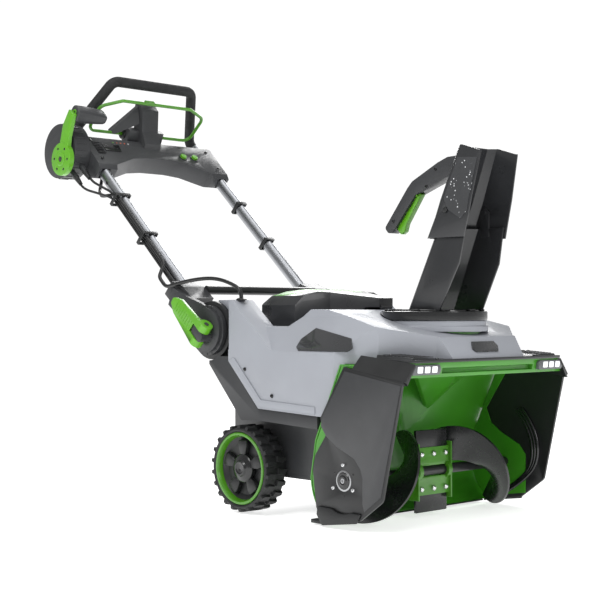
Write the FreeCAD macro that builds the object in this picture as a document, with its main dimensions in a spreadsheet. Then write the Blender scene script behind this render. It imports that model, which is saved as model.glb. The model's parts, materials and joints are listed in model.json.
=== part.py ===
import FreeCAD, Part
import math
import os
import re
import Sketcher

# Battery snow blower. Millimetres, +Z up, the front faces -Y.
# The origin is the middle of the scraper bar's lower edge, on the ground.

SIZES = {
    # auger housing
    "plateOuter": (272, "half width over the side plates"),
    "plateThick": (6, "side plate thickness"),
    "augerY": (-84, "auger axis, ahead of the scraper bar"),
    "augerZ": (98, "auger axis height"),
    "augerRadius": (93, "sweep radius of the auger flights"),
    "housingGap": (8, "flight tip to housing wall"),
    "sheetThick": (3, "housing sheet thickness"),
    "scraperDepth": (40, "scraper bar, front to back"),
    "scraperThick": (8, "scraper bar thickness"),
    "shoeThick": (5, "wear shoe thickness"),
    "hoodHeight": (344, "top of the front beam"),
    "hoodThick": (6, "strip over the front beam"),
    "roofHeight": (338, "housing roof, under the body shell"),
    # auger
    "shaftRadius": (11, "auger shaft radius"),
    "flightThick": (7, "rubber flight thickness"),
    "flightInner": (16, "inner edge radius of the flights"),
    "collarRadius": (19, "bracket collar radius"),
    "paddleThick": (8, "centre paddle thickness"),
    "bearingRadius": (22, "bearing outer radius"),
    "bearingDepth": (9, "bearing depth"),
    "boltRadius": (5, "auger bolt head radius"),
    "pulleyRadius": (56, "auger pulley radius"),
    "motorPulleyRadius": (20, "motor pulley radius"),
    "pulleyWidth": (8, "pulley width"),
    "beltThick": (3, "belt thickness"),
    "coverDepth": (16, "belt cover depth"),
    "motorY": (108, "motor axis, behind the scraper bar"),
    "motorZ": (168, "motor axis height"),
    "motorShaft": (9, "motor shaft radius"),
    "motorRadius": (48, "motor radius"),
    "motorLength": (110, "motor length"),
    # wheels
    "wheelY": (236, "wheel axle, behind the scraper bar"),
    "tyreRadius": (97, "tyre radius"),
    "rimRadius": (81, "rim radius"),
    "wheelOuter": (281, "half width over the wheels"),
    "wheelWidth": (60, "wheel width"),
    "axleRadius": (8, "wheel axle radius"),
    # body
    "shellHalf": (262, "half width of the body shell"),
    "shellWall": (3, "body shell wall"),
    "shellTop": (474, "top of the rear cheeks"),
    "saddle": (414, "shell top under the battery lid"),
    "crease": (360, "line where the shell's sides start to lean in"),
    "bellyHalf": (205, "half width of the belly between the wheels"),
    "bellyFloor": (78, "belly floor height"),
    "lidHalf": (150, "half width of the battery lid"),
    "lidWall": (3, "battery lid wall"),
    "batteryWide": (88, "battery pack width"),
    "batteryDeep": (92, "battery pack, front to back"),
    "batteryTall": (176, "battery pack height"),
    "batteryY": (234, "middle of the battery packs, behind the scraper bar"),
    # chute
    "chuteY": (-95.5, "chute axis"),
    "neckRadius": (98, "discharge neck, inside"),
    "ringRadius": (116, "chute ring radius"),
    "ringFloor": (428, "underside of the turning ring"),
    "ringThick": (20, "turning ring thickness"),
    "chuteWall": (4, "chute wall"),
    "hoodWall": (3.5, "deflector wall"),
    "tiltY": (-187, "deflector hinge"),
    "tiltZ": (662, "deflector hinge height"),
    "tiltEar": (12, "radius of the deflector hinge ear"),
    "hingePin": (4, "hinge pin radius"),
    # handle
    "pivotY": (371, "handle pivot"),
    "pivotZ": (404, "handle pivot height"),
    "handleAngle": (42.2, "slope of the handle tubes"),
    "discRadius": (68, "knuckle disc radius"),
    "stemRadius": (9, "knuckle stem radius"),
    "discInner": (236, "inner face of the knuckle disc"),
    "bracketInner": (180, "inner face of the handle bracket"),
    "bracketOuter": (246, "outer face of the handle bracket"),
    "tubeX": (198, "handle tube spacing from the middle"),
    "tubeDrop": (34.8, "tubes below the pivot, square to the tube"),
    "tubeStart": (150, "lower end of the tubes, along the handle"),
    "tubeEnd": (800, "upper end of the tubes, along the handle"),
    "tubeTall": (16, "half height of the tube section"),
    "tubeWide": (13, "half width of the tube section"),
    "tubeWall": (2, "tube wall"),
    "crossRadius": (11, "cross bar radius"),
    "gripRadius": (14, "grip bar radius"),
    "gripTop": (133, "half width of the grip bar's top"),
    "bailRadius": (4.5, "bail wire radius"),
    "barrelRadius": (72, "chute control barrel radius"),
    "leverHubRadius": (43, "chute lever hub radius"),
    "cableRadius": (3.2, "control cable radius"),
    "powerRadius": (4.5, "power cable radius"),
    # clearances
    "runFit": (0.05, "shaft in its bore"),
    "partGap": (0.4, "between faces that slide past each other"),
    "openGap": (2, "between moving pieces that pass freely"),
}

doc = FreeCAD.newDocument("SnowBlower")
sheet = doc.addObject("Spreadsheet::Sheet", "Sheet")
for row, (alias, (size, meaning)) in enumerate(SIZES.items(), 1):
    sheet.set(f"A{row}", meaning)
    sheet.set(f"B{row}", str(size))
    sheet.setAlias(f"B{row}", alias)
doc.recompute()

WORDS = re.compile(r"\b(" + "|".join(SIZES) + r")\b")
nodes = {}


def bind(text):
    """The expression with each named size read from the sheet."""
    return WORDS.sub(r"Sheet.\1", str(text))


def number(text):
    """The present value of an expression."""
    return float(sheet.evalExpression(str(text)))


def at(datum, offset):
    """A place measured from a datum; a text offset stands for itself."""
    return offset if isinstance(offset, str) else f"{datum} + {offset}"


def fromAuger(points, up="0"):
    """Side outline points, fore and aft measured from the auger axis."""
    return [(at("augerY", y), at(up, z)) for y, z in points]


def mirrored(points):
    """A symmetric outline from its right half, in order."""
    left = [(f"-({x})", y) for x, y in reversed(points)]
    return [(str(x), str(y)) for x, y in points] + left


def node(name, shape):
    """Names a finished sub-part."""
    shape.Label = name
    nodes[name] = shape
    return shape


# ---- solids ----

TURN = {
    "X": FreeCAD.Rotation(FreeCAD.Vector(0, 1, 0), 90),
    "Y": FreeCAD.Rotation(FreeCAD.Vector(1, 0, 0), -90),
    "Z": FreeCAD.Rotation(),
}
PLANES = {"YZ": "YZ_Plane", "XZ": "XZ_Plane", "XY": "XY_Plane"}


def put(shape, x, y, z):
    for axis, text in zip("xyz", (x, y, z)):
        shape.setExpression(f"Placement.Base.{axis}", bind(text))
    return shape


def box(x0, x1, y0, y1, z0, z1):
    shape = doc.addObject("Part::Box", "Box")
    shape.setExpression("Length", bind(f"({x1}) - ({x0})"))
    shape.setExpression("Width", bind(f"({y1}) - ({y0})"))
    shape.setExpression("Height", bind(f"({z1}) - ({z0})"))
    return put(shape, x0, y0, z0)


def ends(axis, start, a, b):
    return {"X": (start, a, b), "Y": (a, start, b), "Z": (a, b, start)}[axis]


def rod(axis, radius, start, end, a, b):
    """A cylinder along an axis; a and b are its other two coordinates."""
    shape = doc.addObject("Part::Cylinder", "Rod")
    shape.Placement = FreeCAD.Placement(FreeCAD.Vector(), TURN[axis])
    shape.setExpression("Radius", bind(radius))
    shape.setExpression("Height", bind(f"({end}) - ({start})"))
    return put(shape, *ends(axis, start, a, b))


def fuse(*shapes):
    joined = doc.addObject("Part::MultiFuse", "Fuse")
    joined.Shapes = list(shapes)
    return joined


def common(*shapes):
    shared = doc.addObject("Part::MultiCommon", "Common")
    shared.Shapes = list(shapes)
    return shared


def cut(base, *tools):
    rest = doc.addObject("Part::Cut", "Cut")
    rest.Base = base
    rest.Tool = tools[0] if len(tools) == 1 else fuse(*tools)
    return rest


def group(*shapes):
    """Separate solids that share one sub-part."""
    together = doc.addObject("Part::Compound", "Group")
    together.Links = list(shapes)
    return together


def mirror(shape):
    """The same piece on the other side of the machine."""
    other = doc.addObject("Part::Mirroring", "Mirror")
    other.Source = shape
    other.Normal = (1, 0, 0)
    return other


def ring(axis, outer, inner, start, end, a, b):
    return cut(rod(axis, outer, start, end, a, b),
               rod(axis, inner, f"({start}) - 1", f"({end}) + 1", a, b))


def sketch(body, plane, corners, offset):
    """A closed outline whose corners are bound to the sheet."""
    outline = body.newObject("Sketcher::SketchObject", "Outline")
    origin = [f for f in body.Origin.OriginFeatures if f.Role == PLANES[plane]]
    outline.AttachmentSupport = [(origin[0], "")]
    outline.MapMode = "FlatFace"
    outline.setExpression(".AttachmentOffset.Base.z", bind(offset))
    spots = [(number(x), number(y)) for x, y in corners]
    count = len(corners)
    for i, spot in enumerate(spots):
        start = FreeCAD.Vector(*spot, 0)
        end = FreeCAD.Vector(*spots[(i + 1) % count], 0)
        outline.addGeometry(Part.LineSegment(start, end), False)
    for i in range(count):
        outline.addConstraint(Sketcher.Constraint("Coincident", i, 2, (i + 1) % count, 1))
    for i, corner in enumerate(corners):
        for side, text, size in zip(("DistanceX", "DistanceY"), corner, spots[i]):
            index = outline.addConstraint(Sketcher.Constraint(side, -1, 1, i, 1, size))
            outline.setExpression(f"Constraints[{index}]", bind(text))
    return outline


def prism(plane, corners, start, end, rounds=None):
    """An outline carried from start to end; rounds maps a radius to the corners it rounds."""
    body = doc.addObject("PartDesign::Body", "Plate")
    corners = [(str(x), str(y)) for x, y in corners]
    offset = f"-({end})" if plane == "XZ" else start
    outline = sketch(body, plane, corners, offset)
    pad = body.newObject("PartDesign::Pad", "Pad")
    pad.Profile = outline
    pad.setExpression("Length", bind(f"({end}) - ({start})"))
    last = pad
    for radius, picked in (rounds or {}).items():
        doc.recompute()
        spots = [(number(corners[i][0]), number(corners[i][1])) for i in picked]
        names = [f"Edge{k}" for k, edge in enumerate(last.Shape.Edges, 1)
                 if standsOn(edge, plane, spots)]
        rounded = body.newObject("PartDesign::Fillet", "Fillet")
        rounded.Base = (last, names)
        rounded.setExpression("Radius", bind(radius))
        last = rounded
    return body


def standsOn(edge, plane, spots):
    """True for the straight edge raised on one of the outline's corners."""
    flat = {"YZ": (1, 2), "XZ": (0, 2), "XY": (0, 1)}[plane]
    first, last = (tuple(v.Point[k] for k in flat) for v in (edge.Vertexes[0], edge.Vertexes[-1]))
    if math.dist(first, last) > 1e-6:
        return False
    return any(math.dist(first, spot) < 1e-4 for spot in spots)


def loft(plane, *sections):
    """Outlines at several offsets joined by flat facets."""
    body = doc.addObject("PartDesign::Body", "Loft")
    sign = "-" if plane == "XZ" else ""
    outlines = [sketch(body, plane, [(str(x), str(y)) for x, y in corners], f"{sign}({offset})")
                for offset, corners in sections]
    skin = body.newObject("PartDesign::AdditiveLoft", "Skin")
    skin.Profile = outlines[0]
    skin.Sections = outlines[1:]
    skin.Ruled = True
    return body


def inset(corners, wall, openSides=()):
    """The outline moved inwards by a wall; an open side moves outwards by 2 instead."""
    corners = [(str(x), str(y)) for x, y in corners]
    spots = [(number(x), number(y)) for x, y in corners]
    count = len(spots)
    area = sum(a[0] * b[1] - b[0] * a[1] for a, b in zip(spots, spots[1:] + spots[:1]))
    turn = 1 if area > 0 else -1
    sides = []
    for i in range(count):
        (ax, ay), (bx, by) = spots[i], spots[(i + 1) % count]
        length = math.hypot(bx - ax, by - ay)
        normal = (-(by - ay) / length * turn, (bx - ax) / length * turn)
        sides.append((normal, 0 if i in openSides else 1))
    moved = []
    for i in range(count):
        (n0, k0), (n1, k1) = sides[i - 1], sides[i]
        det = n0[0] * n1[1] - n0[1] * n1[0]
        kx = (k0 * n1[1] - k1 * n0[1]) / det
        ky = (k1 * n0[0] - k0 * n1[0]) / det
        f0, f1 = (0 if k0 else -2), (0 if k1 else -2)
        ox = (f0 * n1[1] - f1 * n0[1]) / det
        oy = (f1 * n0[0] - f0 * n1[0]) / det
        x, y = corners[i]
        moved.append((f"{x} + {wall} * {kx:.6f} + {ox:.6f}", f"{y} + {wall} * {ky:.6f} + {oy:.6f}"))
    return moved


# ---- auger housing ----

wallRadius = "(augerRadius + housingGap)"
plateInner = "(plateOuter - plateThick)"


def roofLine(away):
    """Inner line of the housing's back wall and roof, moved away from the auger."""
    return [
        (f"augerY + {wallRadius} + {away}", "augerZ"),
        (f"augerY + {wallRadius} - 14 + {away}", f"augerZ + 78 + {away} * 0.2"),
        (f"augerY + 14 + {away} * 0.9", f"roofHeight - sheetThick + {away} * 0.8"),
        ("augerY - 74", f"roofHeight - sheetThick + {away}"),
    ]


def outsideShoulder():
    """The wedge that the side plates' leaning shoulders take up."""
    inner = "plateOuter - 29 - partGap"

    def section(low, high):
        return [(f"{plateInner} - partGap", low), ("plateOuter + 9", low),
                ("plateOuter + 9", 390), (inner, 390), (inner, high)]
    sections = (("augerY - 180", section(298.3, 335.7)), ("augerY - 172", section(299.5, 336.5)),
                ("augerY - 24", section(321.5, 350.5)))
    wedge = loft("XZ", *sections)
    return wedge, mirror(wedge)


def housing():
    lower = common(
        ring("X", f"{wallRadius} + sheetThick", wallRadius, f"-{plateInner}", plateInner,
             "augerY", "augerZ"),
        box(f"-{plateInner}", plateInner, "augerY + augerRadius * 0.4", "augerY + 200",
            "scraperThick", "augerZ"))
    wall = prism("YZ", roofLine("0") + roofLine("sheetThick")[::-1], f"-{plateInner}", plateInner)
    neck = ring("Z", "neckRadius + sheetThick", "neckRadius", "augerZ + 60",
                "ringFloor - 12 - partGap", 0, "chuteY")
    inside = prism("YZ", roofLine("0") + [("augerY - 300", "roofHeight - sheetThick"),
                                          ("augerY - 300", "augerZ")],
                   f"-{plateInner} - 5", f"{plateInner} + 5")
    opened = cut(wall, rod("Z", "neckRadius", "augerZ", "ringFloor", 0, "chuteY"))
    left, right = outsideShoulder()
    node("housing_shell", cut(cut(fuse(lower, opened, cut(neck, inside)), left), right))


def sidePlate():
    outline = fromAuger([(-164, 308), (0, 333), (70, 222), (48, 194), (84, 145), (91, 113),
                         (84, 61), (81, 36), (63, 0), (-47, 20), (-109, 65)])
    skin = prism("YZ", outline, plateInner, "plateOuter", {"9": [2, 3, 4, 5, 6, 7], "16": [9, 10]})
    inner = "plateOuter - 27"
    shoulder = loft("XZ",
                    ("augerY - 172", [(plateInner, 300), ("plateOuter", 308), (inner, 343),
                                      (f"{inner} - 2", 337)]),
                    ("augerY - 24", [(plateInner, 322), ("plateOuter", 330), (inner, 357),
                                     (f"{inner} - 2", 351)]))
    front = prism("YZ", fromAuger([(-172, 300), (-164, 308), (-150, 280), (-150, 300)]),
                  plateInner, "plateOuter")
    bore = rod("X", "bearingRadius", "plateOuter - 40", "plateOuter + 5", "augerY", "augerZ")
    plate = cut(fuse(skin, shoulder, front), bore)
    node("side_plate_left", plate)
    node("side_plate_right", mirror(plate))


def shoes():
    outline = fromAuger([(-52, 34), (-40, 14), (60, -0), (76, 22), (72, 40), (30, 38)])
    foot = prism("YZ", outline, "plateOuter", "plateOuter + shoeThick", {"5": [2, 3]})
    below = cut(foot, rod("X", "pulleyRadius + beltThick + partGap + 8", 0, 400, "augerY",
                          "augerZ"))
    node("wear_shoes", group(below, mirror(below)))


def scraper():
    bar = prism("YZ", [("-scraperDepth / 2", 0), ("scraperDepth / 2", 0),
                       ("scraperDepth / 2", "scraperThick"),
                       ("-scraperDepth / 2 + 6", "scraperThick")],
                f"-{plateInner} + partGap", f"{plateInner} - partGap")
    node("scraper_bar", bar)


def roofZone():
    """What lies at or under the housing's wall and roof."""
    return prism("YZ", roofLine("sheetThick + partGap") + [("augerY - 74", "augerZ")], -300, 300)


def neckRoom():
    return rod("Z", "neckRadius + sheetThick + partGap", 250, 500, 0, "chuteY")


def frontBeam():
    outline = fromAuger([(-167, "hoodHeight"), (-161, 314), (-128, 312), (-122, 318), (-96, 330),
                         (-74, "roofHeight - sheetThick"), (-74, "hoodHeight")])
    beam = prism("YZ", outline, f"-{plateInner} + partGap", f"{plateInner} - partGap")
    recess = prism("YZ", fromAuger([(-175, 334), (-152, 331), (-150, 322), (-175, 320)]),
                   -152, 152)
    shadow = prism("YZ", fromAuger([(-140, 305), (-140, 330), (-100, 338), (-90, 305)]), -256, 256)
    left, right = outsideShoulder()
    body = cut(cut(cut(beam, left), right), recess, shadow)
    node("front_beam", cut(cut(body, roofZone()), neckRoom()))
    bezels, lenses = [], []
    for side in (-1, 1):
        mid = side * 208
        bezels.append(prism("XZ", [(mid - 44, 320), (mid + 38, 320), (mid + 44, 329), (mid + 40, 340),
                                   (mid - 40, 340), (mid - 44, 336)],
                            "augerY - 172", "augerY - 161", {"3": [0, 1, 3, 4]}))
        for k in (-1, 0, 1):
            spot = mid + 22 * k
            lenses.append(prism("XZ", [(spot - 8, 324), (spot + 7, 324), (spot + 9, 337),
                                       (spot - 6, 337)],
                                "augerY - 174", "augerY - 172", {"2": [0, 1, 2, 3]}))
    node("lamp_bezels", cut(cut(cut(group(*bezels), left), right), beam))
    node("lamp_lenses", group(*lenses))


def hoodStrip():
    half = "plateOuter - 30"
    strip = prism("XY", mirrored([(half, "augerY - 172"), (half, "augerY - 60"),
                                  (200, "augerY - 60"), (150, "augerY - 100")]),
                  "hoodHeight", "hoodHeight + hoodThick")
    caps = []
    for side in (-1, 1):
        cap = loft("XZ",
                   ("augerY - 160", [(side * 150, "hoodHeight + hoodThick"),
                                     (side * 240, "hoodHeight + hoodThick"),
                                     (side * 236, "hoodHeight + hoodThick + 4"),
                                     (side * 160, "hoodHeight + hoodThick + 2")]),
                   ("augerY - 62", [(side * 205, "hoodHeight + hoodThick"),
                                    (side * 240, "hoodHeight + hoodThick"),
                                    (side * 236, "hoodHeight + hoodThick + 9"),
                                    (side * 210, "hoodHeight + hoodThick + 6")]))
        caps.append(cap)
    node("hood_strip", cut(fuse(strip, *caps), neckRoom()))


# ---- body ----

SHELL_SIDE = fromAuger([(378, "saddle"), (222, "saddle"), (168, 452), (112, 451), (-60, 411),
                        (-135, 394), (-165, "hoodHeight + hoodThick"),
                        (-44, "hoodHeight + hoodThick"), (8, 225), (85, 225), (276, 232),
                        (378, 335)])
SHELL_PLAN = mirrored([("shellHalf", "augerY + 378"), ("shellHalf", "augerY + 40"),
                       ("shellHalf - 45", "augerY - 50"), (128, "augerY - 128"),
                       (118, "augerY - 170")])
SHELL_FRONT = mirrored([("shellHalf", 200), ("shellHalf", "crease"), (205, 436), (196, 500)])


def bodyShell():
    outer = common(prism("YZ", SHELL_SIDE, "-shellHalf", "shellHalf"),
                   prism("XY", SHELL_PLAN, 200, "shellTop"),
                   prism("XZ", SHELL_FRONT, "augerY - 200", "augerY + 400"))
    cheek = prism("YZ", fromAuger([(376, "shellTop"), (366, "shellTop"), (230, "crease"),
                                   (230, 340), (376, 340)]),
                  "shellHalf - 64", "shellHalf")
    heel = prism("YZ", fromAuger([(376, "saddle - 2"), (444, "saddle - 2"), (444, "shellTop"),
                                  (376, "shellTop")]), "shellHalf - 64", "discInner - 1")
    void = common(prism("YZ", inset(SHELL_SIDE, "shellWall", (6, 7, 8, 9, 10)),
                        "-shellHalf + shellWall", "shellHalf - shellWall"),
                  prism("XY", inset(SHELL_PLAN, "shellWall"), 190, "shellTop"),
                  prism("XZ", inset(SHELL_FRONT, "shellWall"), "augerY - 200", "augerY + 400"))
    bay = box("-lidHalf + 14", "lidHalf - 14", "augerY + 244", "augerY + 369", 300, 520)
    well = rod("Z", "ringRadius + openGap", "ringFloor - 24 - partGap", 500, 0, "chuteY")
    node("body_shell", cut(fuse(outer, cheek, mirror(cheek), heel, mirror(heel)), void, bay,
                           neckRoom(), well, roofZone()))


def badges():
    """Blank six-sided plates on the shoulders and a small one on the nose."""
    outline = fromAuger([(160, 371), (158, 388), (130, 412), (8, 391), (-10, 370), (0, 363),
                         (148, 363)])
    slab = prism("XZ", [("shellHalf", "crease"), ("shellHalf + 2", "crease"), (207, 436),
                        (205, 436)], "augerY - 40", "augerY + 200")
    face = common(prism("YZ", outline, "shellHalf - 80", "shellHalf + 5"), slab)
    nose = prism("XZ", [(-44, 368), (-36, 362), (38, 362), (46, 374), (40, 384), (-34, 384)],
                 "augerY - 165", "augerY - 140")
    front = prism("YZ", fromAuger([(-165, 350), (-135, 394), (-137, 395.4), (-167, 351.4)]),
                  -60, 60)
    node("badge_plates", group(face, mirror(face), common(nose, front)))


def basePan():
    band = prism("YZ", fromAuger([(92, 197), (269, 205), (337, 203), (450, 326), (450, 392),
                                  (436, 410), (378.3, 410), (378.3, 334.7), (276, 231.6),
                                  (92, 224.6)]),
                 "-shellHalf + 4", "shellHalf - 4", {"10": [4, 5]})
    front = f"augerY + {wallRadius} + sheetThick + partGap"
    belly = prism("YZ", [(front, "bellyFloor")] + fromAuger([(380, "bellyFloor"), (420, 120),
                                                             (420, 300)]) + [(front, 210)],
                  "-bellyHalf", "bellyHalf", {"18": [1, 2]})
    hollow = prism("YZ", [(f"{front} + shellWall", "bellyFloor + shellWall")]
                   + fromAuger([(379, "bellyFloor + shellWall"), (417, 122), (433, 330),
                                (433, 405), (378, 420), (250, 420)])
                   + [(f"{front} + shellWall", 300)],
                   "-bellyHalf + shellWall", "bellyHalf - shellWall")
    ear = cut(rod("X", 52, "bellyHalf", "discInner", "pivotY", "pivotZ"),
              box("bellyHalf - 10", "discInner + 10", "augerY + 300", "augerY + 444.4",
                  "saddle - 2.4", 500))
    room = prism("YZ", fromAuger([(378.5, 345), (520, 345), (520, 470), (378.5, 470)]),
                 "discInner", "shellHalf + 9")
    round_ = rod("X", "discRadius + openGap", "discInner", "shellHalf + 9", "pivotY", "pivotZ")
    bores = [rod("X", "axleRadius + runFit", "-wheelOuter", "wheelOuter", "wheelY", "tyreRadius"),
             rod("X", "stemRadius + runFit", "-wheelOuter", "wheelOuter", "pivotY", "pivotZ"),
             rod("X", "motorShaft + openGap", "bellyHalf - 10", "wheelOuter", "motorY", "motorZ")]
    pan = fuse(cut(fuse(band, belly), hollow), ear, mirror(ear))
    node("base_pan", cut(pan, room, mirror(room), round_, mirror(round_), *bores))


def pivotDiscs():
    disc = fuse(rod("X", "discRadius", "discInner + partGap", "discInner + 12", "pivotY", "pivotZ"),
                rod("X", "stemRadius", "bellyHalf + 5", "bracketOuter + 16", "pivotY", "pivotZ"))
    node("pivot_discs", group(disc, mirror(disc)))


def neckFlange():
    inner = "neckRadius + sheetThick + partGap"
    seat = ring("Z", "ringRadius + openGap - partGap", inner, "ringFloor - 24", "ringFloor - 12",
                0, "chuteY")
    flange = ring("Z", "ringRadius - 3", inner, "ringFloor - 12", "ringFloor - partGap",
                  0, "chuteY")
    node("neck_flange", fuse(seat, flange))


def batteries():
    packs = []
    for side in (-1, 1):
        mid = f"{side} * (batteryWide / 2 + 6)"
        packs.append(box(f"{mid} - batteryWide / 2", f"{mid} + batteryWide / 2",
                         "batteryY - batteryDeep / 2", "batteryY + batteryDeep / 2",
                         270, "270 + batteryTall"))
    node("battery_packs", group(*packs))
    tray = cut(box("-batteryWide - 14", "batteryWide + 14", "batteryY - batteryDeep / 2 - 4",
                   "batteryY + batteryDeep / 2 + 4", "bellyFloor + 3", 300), *packs)
    gap = box("-batteryWide - 10", "batteryWide + 10", "batteryY - batteryDeep / 2 + 8",
              "batteryY + batteryDeep / 2 - 8", "bellyFloor", 250)
    axle = rod("X", "axleRadius + 2", -300, 300, "wheelY", "tyreRadius")
    node("battery_tray", cut(tray, gap, axle))


def drive():
    """Motor in the belly's left side, belt outside the left plate, under its cover."""
    start = "plateOuter + 4"
    end = f"{start} + pulleyWidth"
    body = rod("X", "motorRadius", "bellyHalf - shellWall - motorLength",
               "bellyHalf - shellWall", "motorY", "motorZ")
    node("auger_motor", cut(body, rod("X", "motorShaft + runFit", 0, 300, "motorY", "motorZ")))
    node("motor_pulley", fuse(
        rod("X", "motorShaft", "bellyHalf - shellWall - motorLength + 6", end, "motorY", "motorZ"),
        rod("X", "motorPulleyRadius", start, end, "motorY", "motorZ")))
    node("auger_pulley", ring("X", "pulleyRadius", "shaftRadius", start, end, "augerY", "augerZ"))
    node("drive_belt", belt(start))
    cover()
    node("motor_controller", box(-100, 40, "augerY + 130", "augerY + 200", "bellyFloor + 3",
                                 "bellyFloor + 60"))


def beltOutline(extra):
    """Round the two pulleys: two arcs and their outer tangents."""
    r1 = number("pulleyRadius") + extra
    r2 = number("motorPulleyRadius") + extra
    y1, z1 = number("augerY"), number("augerZ")
    y2, z2 = number("motorY"), number("motorZ")
    away = math.hypot(y2 - y1, z2 - z1)
    lean = math.atan2(z2 - z1, y2 - y1)
    open_ = math.acos((r1 - r2) / away)

    def spot(y, z, r, angle):
        return FreeCAD.Vector(0, y + r * math.cos(angle), z + r * math.sin(angle))
    a1, a2 = spot(y1, z1, r1, lean + open_), spot(y1, z1, r1, lean - open_)
    b1, b2 = spot(y2, z2, r2, lean + open_), spot(y2, z2, r2, lean - open_)
    back = spot(y1, z1, r1, lean + math.pi)
    tip = spot(y2, z2, r2, lean)
    edges = [Part.Arc(a1, back, a2), Part.LineSegment(a2, b2), Part.Arc(b2, tip, b1),
             Part.LineSegment(b1, a1)]
    return Part.Face(Part.Wire([e.toShape() for e in edges]))


def belt(start):
    clear = number("partGap")
    outer = beltOutline(clear + number("beltThick"))
    band = outer.cut(beltOutline(clear))
    shape = doc.addObject("Part::Feature", "Belt")
    shape.Shape = band.extrude(FreeCAD.Vector(number("pulleyWidth") - 1, 0, 0))
    shape.Placement.Base = FreeCAD.Vector(number(start) + 0.5, 0, 0)
    return shape


def cover():
    """A closed case round the belt, with a sleeve for the motor shaft."""
    reach = number("beltThick") + number("partGap")
    outer = beltOutline(reach + 7).extrude(FreeCAD.Vector(number("coverDepth"), 0, 0))
    hollow = beltOutline(reach + 4).extrude(FreeCAD.Vector(number("coverDepth") - 4.5, 0, 0))
    hollow.translate(FreeCAD.Vector(2, 0, 0))
    case = doc.addObject("Part::Feature", "Case")
    case.Shape = outer.cut(hollow)
    case.Placement.Base = FreeCAD.Vector(number("plateOuter"), 0, 0)
    sleeve = rod("X", "motorShaft + 16", "bellyHalf", "plateOuter", "motorY", "motorZ")
    holes = [rod("X", "motorShaft + openGap", "bellyHalf - 1", "plateOuter + 3", "motorY", "motorZ"),
             rod("X", "shaftRadius + openGap", "plateOuter - 1", "plateOuter + 3", "augerY",
                 "augerZ")]
    node("belt_cover", cut(fuse(case, sleeve), *holes))


def axle():
    node("wheel_axle", rod("X", "axleRadius", "-wheelOuter + 4", "wheelOuter - 4", "wheelY",
                           "tyreRadius"))


def bearings():
    right = ring("X", "bearingRadius", "shaftRadius + runFit", "plateOuter - bearingDepth",
                 "plateOuter", "augerY", "augerZ")
    node("auger_bearings", group(right, mirror(right)))


def screws():
    """Hub screws on the right plate and screws along the belt cover's rim."""
    heads = []
    for k in range(3):
        angle = 90 + 120 * k
        y = f"augerY + {33 * math.cos(math.radians(angle)):.3f}"
        z = f"augerZ + {33 * math.sin(math.radians(angle)):.3f}"
        heads.append(rod("X", 4.5, "-plateOuter - 5", "-plateOuter", y, z))
    for side in (-1, 1):
        heads.append(rod("Z", 4, "hoodHeight + hoodThick + 2", "hoodHeight + hoodThick + 11",
                         side * 226, "augerY - 90"))
    node("housing_screws", cut(group(*heads), nodes["hood_strip"]))


# ---- auger ----

def flight(side):
    """A rubber ribbon wound round the shaft from the plate to the middle."""
    inner, outer = number("flightInner"), number("augerRadius")
    thick = number("flightThick")
    reach = number(plateInner) - 14 - 70
    helix = Part.makeHelix(reach * 1.5, reach, (inner + outer) / 2)
    corners = [(inner, 0), (outer, 0), (outer, thick), (inner, thick)]
    spots = [FreeCAD.Vector(r, 0, h - thick / 2) for r, h in corners]
    profile = Part.makePolygon(spots + spots[:1])
    ribbon = Part.Wire(helix.Edges).makePipeShell([profile], True, True)
    turn = FreeCAD.Rotation(FreeCAD.Vector(0, 1, 0), 90).multiply(
        FreeCAD.Rotation(FreeCAD.Vector(0, 0, 1), 150))
    ribbon.Placement = FreeCAD.Placement(
        FreeCAD.Vector(60, number("augerY"), number("augerZ")), turn)
    if side < 0:
        ribbon = ribbon.mirror(FreeCAD.Vector(), FreeCAD.Vector(1, 0, 0))
    shape = doc.addObject("Part::Feature", "Flight")
    shape.Shape = ribbon
    return shape


def auger():
    node("auger_shaft", rod("X", "shaftRadius", "-plateOuter + 2",
                            "plateOuter + 4 + pulleyWidth + 1", "augerY", "augerZ"))
    node("auger_flight_left", flight(1))
    node("auger_flight_right", flight(-1))
    paddles, plates, bolts = [], [], []
    for side in (-1, 1):
        paddles.append(box(-51, 51, "augerY - paddleThick / 2", "augerY + paddleThick / 2",
                           *sorted((f"augerZ + {side} * (collarRadius + 8)",
                                    f"augerZ + {side} * (augerRadius - 3)"), key=number)))
        plates.append(box(-54, 54, "augerY - paddleThick / 2 - 3", "augerY - paddleThick / 2",
                          *sorted((f"augerZ + {side} * 12", f"augerZ + {side} * 52"), key=number)))
        for x in (-40, 0, 40):
            bolts.append(rod("Y", "boltRadius", "augerY - paddleThick / 2 - 9",
                             "augerY - paddleThick / 2 - 3", x, f"augerZ + {side} * 38"))
        collar = ring("X", "collarRadius", "shaftRadius", *sorted((f"{side * 42}", f"{side * 54}"),
                                                                   key=number), "augerY", "augerZ")
        plates.append(collar)
        arm = box(*sorted((f"{side * 52}", f"{side * 56}"), key=number), "augerY - 15",
                  "augerY + 15", "augerZ - 62", "augerZ + 62")
        plates.append(cut(arm, rod("X", "shaftRadius", -90, 90, "augerY", "augerZ")))
    node("auger_paddles", group(*paddles))
    node("auger_brackets", fuse(*plates))
    node("auger_bolts", group(*bolts))


# ---- wheels ----

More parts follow.
